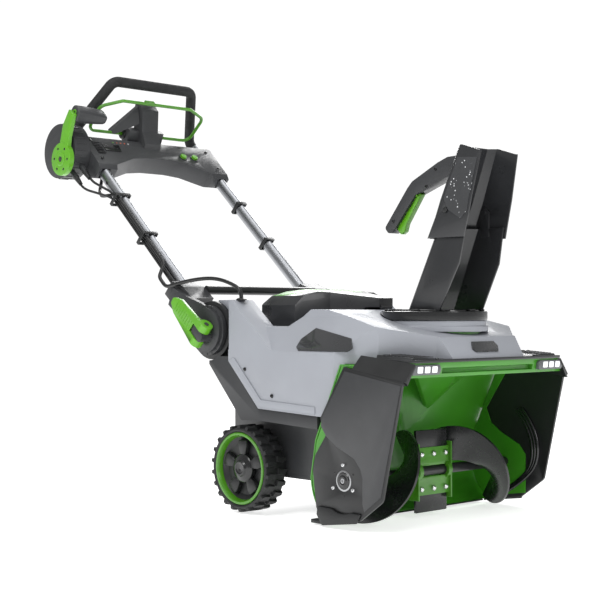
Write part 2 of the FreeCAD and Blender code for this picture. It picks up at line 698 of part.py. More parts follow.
def wheel():
    inner = "(wheelOuter - wheelWidth)"
    tyre = ring("X", "tyreRadius", "rimRadius", inner, "wheelOuter", "wheelY", "tyreRadius")
    band = ring("X", "rimRadius", "rimRadius - 5", f"{inner} + 4", "wheelOuter - 2", "wheelY",
                "tyreRadius")
    web = rod("X", "rimRadius - 5", "wheelOuter - 26", "wheelOuter - 18", "wheelY", "tyreRadius")
    windows = []
    for k in range(5):
        angle = math.radians(90 + 72 * k)
        windows.append(rod("X", 11, "wheelOuter - 30", "wheelOuter - 10",
                           f"wheelY + {58 * math.cos(angle):.3f}",
                           f"tyreRadius + {58 * math.sin(angle):.3f}"))
    hub = rod("X", 32, f"{inner} - 6", "wheelOuter - 6", "wheelY", "tyreRadius")
    bore = rod("X", "axleRadius + runFit", f"{inner} - 10", "wheelOuter - 4 + partGap", "wheelY",
               "tyreRadius")
    rim = cut(fuse(band, web, hub), bore, *windows)
    cap = rod("X", 27, "wheelOuter - 6", "wheelOuter - 3 + partGap", "wheelY", "tyreRadius")
    rim = fuse(rim, cut(cap, rod("X", "axleRadius + runFit", 0, "wheelOuter - 4 + partGap",
                                 "wheelY", "tyreRadius")))
    node("tyre_left", tyre)
    node("rim_left", rim)
    node("tyre_right", mirror(tyre))
    node("rim_right", mirror(rim))


# ---- chute ----

def duct(half, front, back, corner, wall):
    """A three-sided section, open to the front."""
    out = [(half, front), (half, f"{back} - {corner}"), (f"{half} - {corner}", back)]
    inn = [(f"{half} - {wall} - {corner}", f"{back} - {wall}"),
           (f"{half} - {wall}", f"{back} - {wall} - {corner}"), (f"{half} - {wall}", front)]
    outer = [(str(x), y) for x, y in out]
    left = [(f"-({x})", y) for x, y in reversed(outer)]
    back = [(f"-({x})", y) for x, y in reversed(inn)]
    return outer + left + back + [(x, y) for x, y in inn]


def chute():
    top = "ringFloor + ringThick"
    node("chute_turntable", ring("Z", "ringRadius", "neckRadius - 6", "ringFloor", top, 0, "chuteY"))
    wall = "chuteWall"
    lower = loft("XY",
                 (top, duct("74", "augerY - 88", "augerY + 18", "22", wall)),
                 (550, duct("69", "augerY - 139", "augerY - 28", "20", wall)),
                 (628, duct("65", "augerY - 154", "augerY - 64", "18", wall)))
    ears = []
    for side in (-1, 1):
        x0, x1 = sorted((f"{side} * (65 - chuteWall)", f"{side} * 65"), key=number)
        ear = prism("YZ", [("tiltY - tiltEar", 610), ("tiltY + tiltEar", 610),
                           ("tiltY + tiltEar", "tiltZ"), ("tiltY", "tiltZ + tiltEar"),
                           ("tiltY - tiltEar", "tiltZ")], x0, x1, {"6": [2, 4]})
        pin = rod("X", "hingePin", *sorted((f"{side * 60}", f"{side} * (65 + openGap + hoodWall)"),
                                           key=number), "tiltY", "tiltZ")
        ears += [ear, pin]
    node("chute_duct", fuse(lower, *ears))


def deflector():
    wall = "hoodWall"
    half = "(65 + partGap * 3 + hoodWall)"
    hood = loft("XY",
                (604, duct(f"{half} + 2", "augerY - 153", "augerY - 40", "16", wall)),
                (650, duct(half, "augerY - 164", "augerY - 61", "16", wall)),
                (686, duct(half, "augerY - 171.8", "augerY - 75.8", "15.5", wall)),
                (798, duct(f"{half} - 8", "augerY - 196", "augerY - 122", "14", wall)))
    slope = prism("YZ", fromAuger([(-260, 774), (-188, 783), (-100, 812), (-100, 900), (-260, 900)]),
                  -120, 120)
    heel = prism("YZ", fromAuger([(-260, 640), (-157, 604), (-151, 600), (-260, 600)]), -120, 120)
    bores = rod("X", "hingePin + runFit", -120, 120, "tiltY", "tiltZ")
    hood = cut(hood, slope, heel, bores)
    node("deflector_hood", hood)
    outline = fromAuger([(-121, 784), (-62, 782), (-34, 772), (40, 736), (54, 722), (122, 636),
                         (110, 622), (92, 632), (30, 706), (-58, 738), (-104, 742)])
    grip = prism("YZ", outline, -15, 15, {"10": [2, 3, 8], "7": [5, 6]})
    pocket = prism("YZ", fromAuger([(14, 708), (40, 727), (106, 645), (80, 615)]),
                   "-7 - partGap", "7 + partGap")
    pivot = rod("X", "2.5 + runFit", -12, 12, "augerY + 30", 704)
    root = prism("YZ", fromAuger([(-118.2, 795), (-300, 795), (-300, 735), (-95.6, 735)]), -40, 40)
    node("deflector_handle", cut(grip, pocket, pivot, root))
    blade = prism("YZ", fromAuger([(20, 706), (30, 713), (94, 636), (80, 620), (70, 626),
                                   (64, 644)]), -7, 7, {"2": [3, 4]})
    node("deflector_trigger", fuse(blade, rod("X", 2.5, -12, 12, "augerY + 30", 704)))


# ---- handle, in its own frame: X across, Y along the tubes, Z square to them ----

def onHandle(name, piece):
    """Stands a piece, drawn along the handle, at the pivot and slope."""
    shape = group(piece)
    shape.Placement = FreeCAD.Placement(
        FreeCAD.Vector(), FreeCAD.Rotation(FreeCAD.Vector(1, 0, 0), number("handleAngle")))
    put(shape, 0, "pivotY", "pivotZ")
    shape.setExpression("Placement.Rotation.Angle", bind("handleAngle"))
    return node(name, shape)


def pair(name, shape):
    """The right piece on the handle and its mirror image on the left."""
    right = onHandle(f"{name}_right", shape)
    node(f"{name}_left", mirror(right))


def ovalTube():
    def oval(shrink):
        section = doc.addObject("Part::Ellipse", "Oval")
        section.setExpression("MajorRadius", bind(f"tubeTall - {shrink}"))
        section.setExpression("MinorRadius", bind(f"tubeWide - {shrink}"))
        section.Placement = FreeCAD.Placement(
            FreeCAD.Vector(), FreeCAD.Rotation(FreeCAD.Vector(0, 0, 1), FreeCAD.Vector(1, 0, 0),
                                               FreeCAD.Vector(0, 1, 0), "ZXY"))
        put(section, "-tubeX", "tubeStart", "-tubeDrop")
        long = doc.addObject("Part::Extrusion", "Long")
        long.Base = section
        long.DirMode = "Custom"
        long.Dir = (0, 1, 0)
        long.Solid = True
        long.setExpression("LengthFwd", bind("tubeEnd - tubeStart"))
        return long
    return cut(oval("0"), oval("tubeWall"))


def tubeRoom(extra):
    """The tube's outline as a plain block, for the pieces that clamp it."""
    return box(f"-tubeX - tubeWide - {extra}", f"-tubeX + tubeWide + {extra}", "tubeStart",
               "tubeEnd", f"-tubeDrop - tubeTall - {extra}", f"-tubeDrop + tubeTall + {extra}")


def bracket():
    arm = prism("YZ", [(50, 20), (110, 6), (150, 4), (176, -10), (190, -15), (190, -56), (149, -54),
                       (96, -46), (50, -30)],
                "-bracketOuter", "-bracketInner", {"12": [2, 6]})
    discRoom = rod("X", "discRadius + openGap", "-discInner - 12 - openGap", "-discInner", 0, 0)
    cheekRoom = rod("X", "104", "-discInner", "-bracketInner + 5", 0, 0)
    cap = rod("X", 58, "-bracketOuter - 14", "-discInner - 12 - openGap", 0, 0)
    plate = rod("X", 52, "-bracketOuter - 22", "-bracketOuter - 14", 0, 0)
    web = prism("YZ", [(10, 50), (60, 30), (110, 6), (163, -12), (149, -54), (60, -44), (10, -50)],
                "-bracketOuter - 14", "-bracketOuter", {"14": [1, 2]})
    stem = rod("X", "stemRadius + runFit", "-bracketOuter - 20", "-bracketInner", 0, 0)
    barrelSeat = prism("YZ", [(-32, 11), (8, 11), (8, -11), (-32, -11)], "-bracketOuter - 53",
                       "-bracketOuter - 22", {"8": [0, 1, 2, 3]})
    pinHole = rod("Z", "5.5", -30, 30, leverX, leverU)
    body = cut(fuse(cut(arm, cheekRoom), web, cap, plate), discRoom, stem, tubeRoom("0"))
    pair("handle_bracket", fuse(body, cut(barrelSeat, pinHole), rod("Z", 5.5, -31, 31, leverX, leverU)))


leverX = "-bracketOuter - 40"
leverU = -12


def lockLever():
    """Cam lever lying along the handle; it swings outwards about its barrel."""
    bands = [ring("Z", 16, "5.5 + runFit", z, z + 18, leverX, leverU) for z in (-30, 12)]
    arm = prism("YZ", [(-8, 30), (30, 26), (84, 20), (106, 8), (106, -8), (84, -20), (30, -26),
                       (-8, -30)], f"{leverX} - 15", f"{leverX} - 5", {"8": [2, 3, 4, 5]})
    seatRoom = rod("Z", 28, "-11 - partGap", "11 + partGap", leverX, leverU)
    pinRoom = rod("Z", "5.5 + runFit", -60, 60, leverX, leverU)
    pair("lock_lever", cut(fuse(*bands, arm), seatRoom, pinRoom))


def tubes():
    pair("handle_tube", ovalTube())
    bar = rod("X", "crossRadius", "-bracketInner", "bracketInner", 138, 3)
    onHandle("cross_bar", bar)


def console():
    half = "(tubeX + tubeWide + 9)"
    outline = [(640, -18), (655, -12), (768, -8), (784, -22), (784, -44), (766, -60), (655, -62),
               (640, -50)]
    beam = prism("YZ", outline, f"-{half}", half, {"8": [1, 2, 3, 5, 6]})
    waist = prism("XY", mirrored([(176, 600), (160, 655), (90, 688), (40, 696)]), -80, 20)
    tower = prism("YZ", [(735, -14), (800, -20), (820, 10), (856, 58), (846, 70), (816, 66),
                         (778, 20), (744, 4)], -27, 27, {"7": [3, 4, 5]})
    ears = prism("YZ", [(780, -18), (800, -30), (822, -30), (828, -4), (812, 8), (790, 12)], -58, 58,
                 {"8": [2, 3]})
    sockets = rod("X", "bailRadius + runFit", -60, 60, 811, -15)
    bores = [tubeRoom("0"), mirror(tubeRoom("0"))]
    seats = [rod("Z", "9 + partGap", -14, 40, x, 716) for x in (95, 135)]
    body = cut(fuse(beam, tower, ears), waist, sockets, *bores, *seats)
    onHandle("console", body)
    onHandle("start_button", rod("Z", 9, "-14 + openGap", -3, 95, 716))
    onHandle("lamp_button", rod("Z", 9, "-14 + openGap", -3, 135, 716))


def smoothWire(points, radius):
    """Straight runs joined by tangent arcs of one radius."""
    spots = [FreeCAD.Vector(*p) for p in points]
    edges = []
    start = spots[0]
    for before, corner, after in zip(spots, spots[1:], spots[2:]):
        a, b = (before - corner).normalize(), (after - corner).normalize()
        half = a.getAngle(b) / 2
        shorter = min((before - corner).Length, (after - corner).Length)
        trim = min(radius / math.tan(half), 0.47 * shorter)
        bend = trim * math.tan(half)
        first, last = corner + a * trim, corner + b * trim
        centre = corner + (a + b).normalize() * (bend / math.sin(half))
        mid = centre + (corner - centre).normalize() * bend
        edges.append(Part.LineSegment(start, first).toShape())
        edges.append(Part.Arc(first, mid, last).toShape())
        start = last
    edges.append(Part.LineSegment(start, spots[-1]).toShape())
    return Part.Wire(edges)


def bar(points, bend, radius):
    """A round bar or cable along a route, its volume compared with section times length."""
    wire = smoothWire(points, bend)
    first = wire.Edges[0]
    facing = first.tangentAt(first.FirstParameter)
    circle = Part.Wire(Part.makeCircle(radius, first.Vertexes[0].Point, facing))
    solid = wire.makePipeShell([circle], True, False)
    ideal = math.pi * radius ** 2 * wire.Length
    if abs(solid.Volume / ideal - 1) > 0.01:
        raise ValueError(f"bar volume {solid.Volume:.0f} is not {ideal:.0f}")
    shape = doc.addObject("Part::Feature", "Bar")
    shape.Shape = solid
    return shape


def gripBar():
    x, top = number("tubeX"), number("gripTop")
    drop, end = number("tubeDrop"), number("tubeEnd") + number("partGap")
    points = [(-x, end, -drop), (-x, end + 30, -drop), (-top, end + 50, 122),
              (top, end + 50, 122), (x, end + 30, -drop), (x, end, -drop)]
    onHandle("grip_bar", bar(points, 26, number("gripRadius")))


def bail():
    lean = math.radians(5.5)

    def raised(x, height):
        return (x, 811 - height * math.sin(lean), -15 + height * math.cos(lean))
    half = [(48, 0), (172, 0), (176, 84), (116, 111)]
    points = [raised(-x, h) for x, h in half] + [raised(x, h) for x, h in reversed(half)]
    tab = box(-44, -14, 797, 806, 94, 103)
    onHandle("bail_wire", fuse(bar(points, 22, number("bailRadius")), tab))


def chuteControl():
    inner, outer = "-tubeX - tubeWide - 9 - partGap", "-tubeX - tubeWide - 58"
    hubSpot = (713, -51)
    barrel = rod("X", "barrelRadius", outer, inner, 759, -58)
    nose = rod("X", "barrelRadius - 22", f"{outer} - 8", outer, 745, -55)
    glands = [rod("Y", 7, 668, 700, -256, -72), rod("Y", 7, 668, 700, -238, -52)]
    axlePin = rod("X", 6, f"{outer} - 24", outer, *hubSpot)
    onHandle("chute_control", fuse(barrel, nose, *glands, axlePin))
    hub = ring("X", "leverHubRadius", "6 + runFit", f"{outer} - 22", f"{outer} - 8 - partGap",
               *hubSpot)
    arm = prism("YZ", [(696, -34), (740, -40), (768, 20), (772, 66), (748, 68), (726, 12)],
                f"{outer} - 20", f"{outer} - 8 - partGap", {"6": [1, 2]})
    arm = cut(arm, rod("X", 20, f"{outer} - 30", outer, *hubSpot))
    onHandle("chute_lever", fuse(hub, arm))
    onHandle("chute_lever_grip", rod("X", 21, f"{outer} - 8 - partGap", "-tubeX + 14", 760, 62))


def cables():
    """Two control cables and the power lead, clipped to the right tube."""
    side = -number("tubeX") - number("tubeWide")
    drop = -number("tubeDrop")
    thin, thick = number("cableRadius"), number("powerRadius")
    end = 205
    one = bar([(-256, 667.5, -72), (-256, 620, -74), (side - 5, 548, drop - 8),
               (side - 5, end, drop - 8)], 60, thin)
    two = bar([(-238, 667.5, -52), (-236, 620, -50), (side - 5, 560, drop),
               (side - 5, end, drop)], 60, thin)
    lead = bar([(-150, 700, -62.5), (-150, 700, -84), (-186, 640, -92), (side - 6, 588, -70),
                (side - 6, 540, drop + 9), (side - 6, end + 66, drop + 9),
                (-253, end + 22, drop), (-253, end, drop)], 40, thick)
    onHandle("control_cables", group(one, two, lead))
    clips = []
    for along in (377, 531):
        for x, reach in (("-tubeX", 14), ("tubeX", 0)):
            clip = box(f"{x} - tubeWide - 3 - {reach}", f"{x} + tubeWide + 3", along - 5, along + 5,
                       "-tubeDrop - tubeTall - 3", "-tubeDrop + tubeTall + 3")
            room = box(f"{x} - tubeWide - {reach}", f"{x} + tubeWide", along - 9, along + 9,
                       "-tubeDrop - tubeTall", "-tubeDrop + tubeTall")
            clips.append(cut(clip, room))
    onHandle("cable_clips", group(*clips))


def bridgeCable():
    """The power lead from the handle's clip to the gland on the body, free to bend."""
    slope = math.radians(number("handleAngle"))

    def world(x, along, up):
        y = number("pivotY") + along * math.cos(slope) - up * math.sin(slope)
        z = number("pivotZ") + along * math.sin(slope) + up * math.cos(slope)
        return (x, y, z)
    drop = -number("tubeDrop")
    back = number("augerY")
    points = [world(-253, 204.4, drop), world(-253, 192, drop),
              world(-253, 178, drop + 15),
              (-252, back + 524, 522), (-248, back + 440, 526), (-239, back + 380, 508),
              (-236, back + 362, 492), (-236, back + 362, number("shellTop") + number("partGap"))]
    shape = bar(points, 34, number("powerRadius"))
    node("bridge_cable", shape)


# ---- battery lid ----

LID_PLAN = mirrored([("lidHalf", "augerY + 388"), ("lidHalf", "augerY + 275"),
                     (62, "augerY + 250"), (22, "augerY + 132")])


def lid():
    foot = "saddle + partGap"
    side = fromAuger([(388, foot), (388, 466), (372, 494), (330, 500), (250, 492), (132, 478),
                      (132, 457), (165, 457), (223, foot)])
    front = mirrored([("lidHalf", 400), ("lidHalf", 462), ("lidHalf - 22", 484), (60, 501)])
    outer = common(prism("XY", LID_PLAN, 400, 520), prism("YZ", side, -200, 200),
                   prism("XZ", front, "augerY + 100", "augerY + 400"))
    void = common(prism("XY", inset(LID_PLAN, "lidWall"), 390, 520),
                  prism("YZ", inset(side, "lidWall", (6, 7, 8)), -190, 190),
                  prism("XZ", inset(front, "lidWall"), "augerY + 90", "augerY + 410"))
    window = prism("XY", [(-128, "augerY + 380"), (-128, "augerY + 340"), (-60, "augerY + 262"),
                          (60, "augerY + 262"), (128, "augerY + 340"), (128, "augerY + 380")],
                   430, 540)
    pane = common(cut(outer, void), window)
    node("lid_window", pane)
    hinge = rod("X", "hingePin", -18, 18, "augerY + 132", 457)
    node("battery_lid", fuse(cut(cut(outer, void), window), hinge))


def build():
    for make in (housing, sidePlate, shoes, scraper, frontBeam, hoodStrip, bodyShell, badges,
                 basePan, pivotDiscs, neckFlange, batteries, drive, axle, bearings, screws,
                 auger, wheel, chute, deflector, bracket, lockLever, tubes, console, gripBar,
                 bail, chuteControl, cables, bridgeCable, lid):
        make()
    doc.recompute()


def check():
    for item in doc.Objects:
        if {"Invalid", "Error"} & set(item.State):
            raise ValueError(f"{item.Name} {item.Label} failed: {item.State}")
    for name, item in nodes.items():
        if item.Shape.isNull() or not item.Shape.isValid() or not item.Shape.Solids:
            raise ValueError(f"{name} has no valid solid")


build()
check()
os.makedirs("parts", exist_ok=True)
for name, item in nodes.items():
    item.Shape.exportStep(os.path.join("parts", f"{name}.step"))
    span = item.Shape.BoundBox
    print(f"{name:22} solids {len(item.Shape.Solids):2} volume {item.Shape.Volume / 1000:8.1f} cm3  "
          f"x {span.XMin:7.1f} {span.XMax:7.1f}  y {span.YMin:7.1f} {span.YMax:7.1f}  "
          f"z {span.ZMin:7.1f} {span.ZMax:7.1f}")
print(len(nodes), "nodes")
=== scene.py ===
import json
import math

import bmesh
import bpy
from mathutils import Matrix, Vector


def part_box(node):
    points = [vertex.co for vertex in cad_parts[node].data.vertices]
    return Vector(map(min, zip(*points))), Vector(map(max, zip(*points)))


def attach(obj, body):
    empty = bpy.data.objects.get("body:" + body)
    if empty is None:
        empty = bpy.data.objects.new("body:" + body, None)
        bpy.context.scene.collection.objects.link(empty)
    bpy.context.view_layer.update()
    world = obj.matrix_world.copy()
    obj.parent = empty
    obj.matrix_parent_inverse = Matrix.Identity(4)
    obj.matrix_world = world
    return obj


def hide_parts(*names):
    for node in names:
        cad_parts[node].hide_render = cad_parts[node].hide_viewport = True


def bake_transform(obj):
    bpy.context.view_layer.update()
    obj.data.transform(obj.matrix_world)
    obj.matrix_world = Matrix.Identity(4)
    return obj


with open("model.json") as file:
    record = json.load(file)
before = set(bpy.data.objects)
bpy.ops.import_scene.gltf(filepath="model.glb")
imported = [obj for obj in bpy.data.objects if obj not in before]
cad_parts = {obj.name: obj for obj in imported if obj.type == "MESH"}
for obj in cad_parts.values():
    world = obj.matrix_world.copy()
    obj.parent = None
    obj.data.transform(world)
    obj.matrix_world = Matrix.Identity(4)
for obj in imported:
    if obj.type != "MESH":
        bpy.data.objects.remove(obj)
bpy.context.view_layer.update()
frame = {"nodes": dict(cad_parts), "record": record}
nodes = frame["nodes"]
bodyOf = {n: b for b, names in frame["record"]["behaviour"]["bodies"].items() for n in names}
slotOf = {s["node"]: s["material_slot"] for s in frame["record"]["subparts"]}
print("frame loaded")


# ---- finishes ----

def shade(hexText):
    parts = [int(hexText[i:i + 2], 16) / 255 for i in (0, 2, 4)]
    return [p / 12.92 if p <= 0.04045 else ((p + 0.055) / 1.055) ** 2.4 for p in parts] + [1]


# tone: spread of light and dark; grain: bump height; dust: pale scuffs in patches
finishes = {
    "shellGrey": dict(colour="989ba2", rough=0.5, tone=0.05, toneScale=7, grain=0.12, grainScale=900,
                      coat=0.12),
    "charcoal": dict(colour="343537", rough=0.40, tone=0.06, toneScale=9, grain=0.28, grainScale=1100,
                     dust=0.004),
    "charcoalSmooth": dict(colour="27282a", rough=0.30, tone=0.08, toneScale=9, grain=0.08, grainScale=700,
                           coat=0.2),
    "blackPlastic": dict(colour="191a1b", rough=0.38, tone=0.12, toneScale=12, grain=0.2, grainScale=1000),
    "blackGloss": dict(colour="121314", rough=0.22, tone=0.10, toneScale=10, grain=0.05, grainScale=400,
                       coat=0.3),
    "housingGreen": dict(colour="3c8a1c", rough=0.36, tone=0.14, toneScale=6, grain=0.10, grainScale=260,
                         coat=0.25),
    "bracketGreen": dict(colour="3f7d17", rough=0.34, tone=0.16, toneScale=14, grain=0.12, grainScale=300,
                         coat=0.3),
    "lime": dict(colour="5ca41c", rough=0.30, tone=0.07, toneScale=14, grain=0.08, grainScale=900, coat=0.25),
    "limeWire": dict(colour="478719", rough=0.34, tone=0.10, toneScale=20, grain=0.10, grainScale=700,
                     coat=0.3),
    "steel": dict(colour="a9aaac", rough=0.30, metal=1.0, tone=0.12, toneScale=30, grain=0.08,
                  grainScale=600),
    "boltBright": dict(colour="d4d5d6", rough=0.18, metal=1.0, tone=0.08, toneScale=40, grain=0.04,
                       grainScale=500),
    "tubeBright": dict(colour="a2a4a8", rough=0.28, metal=1.0, tone=0.02, toneScale=6, grain=0.0,
                       grainScale=300, brushed=(3, 3, 3)),
    "motorPaint": dict(colour="2b2c2e", rough=0.4, metal=0.4, tone=0.1, toneScale=20, grain=0.1,
                       grainScale=400),
    "powderBlack": dict(colour="1c1d1e", rough=0.32, tone=0.1, toneScale=20, grain=0.25, grainScale=900,
                        coat=0.1),
    "augerRubber": dict(colour="1a1b1c", rough=0.26, tone=0.2, toneScale=14, grain=0.12, grainScale=350,
                        dust=0.008),
    "tyreRubber": dict(colour="1b1c1d", rough=0.55, tone=0.14, toneScale=24, grain=0.35, grainScale=700,
                       dust=0.01),
    "foam": dict(colour="1b1c1d", rough=0.72, tone=0.12, toneScale=30, grain=0.7, grainScale=1500),
    "cableBlack": dict(colour="141516", rough=0.34, tone=0.1, toneScale=30, grain=0.1, grainScale=800),
    "badge": dict(colour="2c2d2f", rough=0.25, tone=0.06, toneScale=16, grain=0.05, grainScale=500, coat=0.5),
    "lampGrey": dict(colour="5c5e61", rough=0.28, tone=0.06, toneScale=20, grain=0.08, grainScale=600,
                     coat=0.3),
    "lampLens": dict(colour="f4f6f8", rough=0.14, tone=0.03, toneScale=60, grain=0.06, grainScale=240,
                     coat=0.6, glow=0.35),
    "windowGreen": dict(colour="4f9a2c", rough=0.34, tone=0.08, toneScale=12, grain=0.03, grainScale=200,
                        coat=0.1),
    "speckled": dict(colour="37383a", rough=0.32, tone=0.08, toneScale=16, grain=0.06, grainScale=500,
                     coat=0.3, specks=150),
    "markWhite": dict(colour="cfd0d2", rough=0.4, tone=0.04, toneScale=30, grain=0.05, grainScale=500),
    "markAmber": dict(colour="c8542a", rough=0.35, tone=0.04, toneScale=30, grain=0.05, grainScale=500),
}


def makeFinish(name, look):
    mat = bpy.data.materials.new(name)
    mat.use_nodes = True
    tree = mat.node_tree
    shader = next(n for n in tree.nodes if n.type == "BSDF_PRINCIPLED")
    add, join = tree.nodes.new, tree.links.new
    place = add("ShaderNodeTexCoord").outputs["Object"]
    if "brushed" in look:
        turn = add("ShaderNodeMapping")
        turn.inputs["Scale"].default_value = look["brushed"]
        join(place, turn.inputs["Vector"])
        place = turn.outputs["Vector"]

    def noise(scale, detail=3.0):
        cloud = add("ShaderNodeTexNoise")
        cloud.inputs["Scale"].default_value = scale
        cloud.inputs["Detail"].default_value = detail
        join(place, cloud.inputs["Vector"])
        return cloud.outputs["Fac"]

    base = shade(look["colour"])
    ramp = add("ShaderNodeValToRGB")
    tone = look["tone"]
    ramp.color_ramp.elements[0].position, ramp.color_ramp.elements[1].position = 0.3, 0.7
    ramp.color_ramp.elements[0].color = [c * (1 - tone) for c in base[:3]] + [1]
    ramp.color_ramp.elements[1].color = [c * (1 + tone) for c in base[:3]] + [1]
    join(noise(look["toneScale"], 5), ramp.inputs["Fac"])
    colour = ramp.outputs["Color"]

    def over(colour, mask, top):
        mix = add("ShaderNodeMix")
        mix.data_type = "RGBA"
        join(mask, mix.inputs["Factor"])
        join(colour, mix.inputs["A"])
        mix.inputs["B"].default_value = top
        return mix.outputs["Result"]

    def between(value, low, high, start, end):
        span = add("ShaderNodeMapRange")
        for key, number in (("From Min", low), ("From Max", high), ("To Min", start), ("To Max", end)):
            span.inputs[key].default_value = number
        join(value, span.inputs["Value"])
        return span.outputs["Result"]

    if "dust" in look:
        colour = over(colour, between(noise(38, 8), 0.55, 0.8, 0, look["dust"] * 4), [0.4, 0.4, 0.4, 1])
    if "specks" in look:
        dots = add("ShaderNodeTexVoronoi")
        dots.inputs["Scale"].default_value = look["specks"]
        join(place, dots.inputs["Vector"])
        fade = add("ShaderNodeMath")
        fade.operation = "MULTIPLY"
        join(between(dots.outputs["Distance"], 0.16, 0.24, 1, 0), fade.inputs[0])
        join(between(noise(55, 2), 0.5, 0.56, 0, 1), fade.inputs[1])
        colour = over(colour, fade.outputs[0], [0.75, 0.76, 0.78, 1])
    join(colour, shader.inputs["Base Color"])
    join(between(noise(look["toneScale"] * 2.3, 6), 0.3, 0.7, look["rough"] * 0.88, look["rough"] * 1.14),
         shader.inputs["Roughness"])
    bump = add("ShaderNodeBump")
    bump.inputs["Strength"].default_value = look["grain"]
    bump.inputs["Distance"].default_value = 0.0005
    join(noise(look["grainScale"], 2), bump.inputs["Height"])
    join(bump.outputs["Normal"], shader.inputs["Normal"])
    shader.inputs["Metallic"].default_value = look.get("metal", 0)
    shader.inputs["Coat Weight"].default_value = look.get("coat", 0)
    if "glow" in look:
        shader.inputs["Emission Color"].default_value = shade(look["colour"])
        shader.inputs["Emission Strength"].default_value = look["glow"]
    return mat


mats = {name: makeFinish(name, look) for name, look in finishes.items()}
print("finishes made", len(mats))


# ---- helpers ----

sides = ((-1, "Right"), (1, "Left"))


def newObject(name, mesh, finish):
    obj = bpy.data.objects.new(name, mesh)
    bpy.context.scene.collection.objects.link(obj)
    mesh.materials.clear()
    mesh.materials.append(mats[finish])
    return obj


def settle(obj, angle=32):
    # the modifiers' result becomes the plain mesh
    graph = bpy.context.evaluated_depsgraph_get()
    done = bpy.data.meshes.new_from_object(obj.evaluated_get(graph), preserve_all_data_layers=True,
                                           depsgraph=graph)
    obj.modifiers.clear()
    obj.data = done
    done.shade_smooth()
    done.set_sharp_from_angle(angle=math.radians(angle))
    return obj


def softened(obj, width, segments=2, angle=25):
    edge = obj.modifiers.new("edge", "BEVEL")
    edge.width = width
    edge.segments = segments
    edge.limit_method = "ANGLE"
    edge.angle_limit = math.radians(angle)
    edge.harden_normals = False
    weigh = obj.modifiers.new("weigh", "WEIGHTED_NORMAL")
    weigh.keep_sharp = True
    return obj


def ridesOn(obj, body, slot, *replaced):
    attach(obj, body)
    if replaced:
        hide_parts(*replaced)
    return obj


def meshOf(name, build, finish, merge=1e-6):
    work = bmesh.new()
    build(work)
    bmesh.ops.remove_doubles(work, verts=work.verts, dist=merge)
    bmesh.ops.recalc_face_normals(work, faces=work.faces)
    mesh = bpy.data.meshes.new(name)
    work.to_mesh(mesh)
    work.free()
    return newObject(name, mesh, finish)


def slab(work, corners, depth):
    # a prism: the corners in 3-D, pushed along depth
    low = [work.verts.new(c) for c in corners]
    high = [work.verts.new(Vector(c) + Vector(depth)) for c in corners]
    work.faces.new(low)
    work.faces.new(list(reversed(high)))
    for i in range(len(corners)):
        j = (i + 1) % len(corners)
        work.faces.new((low[i], high[i], high[j], low[j]))


def bridged(work, rings, closed=False):
    # a skin from ring to ring, each with the same count of points
    pairs = list(zip(rings, rings[1:])) + ([(rings[-1], rings[0])] if closed else [])
    for one, two in pairs:
        for k in range(len(one)):
            j = (k + 1) % len(one)
            work.faces.new((one[k], one[j], two[j], two[k]))


def turned(work, profile, centre, axis="X", steps=64, closed=True):
    # profile: (radius, along) pairs
    rings = []
    for radius, along in profile:
        loop = []
        for k in range(steps):
            a = 2 * math.pi * k / steps
            c, s = radius * math.cos(a), radius * math.sin(a)
            spot = {"X": (along, c, s), "Y": (c, along, s), "Z": (c, s, along)}[axis]
            loop.append(work.verts.new(Vector(centre) + Vector(spot)))
        rings.append(loop)
    bridged(work, rings, closed)


# the handle's own frame, from its fold: up the tubes, and square to them
handleSlope = math.radians(42.2)
handleFold = Vector((0, 0.371, 0.404))
alongTube = Vector((0, math.cos(handleSlope), math.sin(handleSlope)))
squareUp = Vector((0, -math.sin(handleSlope), math.cos(handleSlope)))


def onHandle(x, along, up):
    # mm in that frame to a place in the scene
    return handleFold + (Vector((x, 0, 0)) + alongTube * along + squareUp * up) / 1000


def tube(name, points, radius, finish, steps=16):
    curve = bpy.data.curves.new(name, "CURVE")
    curve.dimensions = "3D"
    curve.bevel_depth = radius
    curve.bevel_resolution = 5
    curve.use_fill_caps = True
    line = curve.splines.new("NURBS")
    line.points.add(len(points) - 1)
    for spot, point in zip(line.points, points):
        spot.co = (*point, 1)
    line.order_u = 3
    line.use_endpoint_u = True
    line.resolution_u = steps
    holder = bpy.data.objects.new(name, curve)
    bpy.context.scene.collection.objects.link(holder)
    graph = bpy.context.evaluated_depsgraph_get()
    mesh = bpy.data.meshes.new_from_object(holder.evaluated_get(graph))
    bpy.data.objects.remove(holder)
    mesh.shade_smooth()
    return newObject(name, mesh, finish)


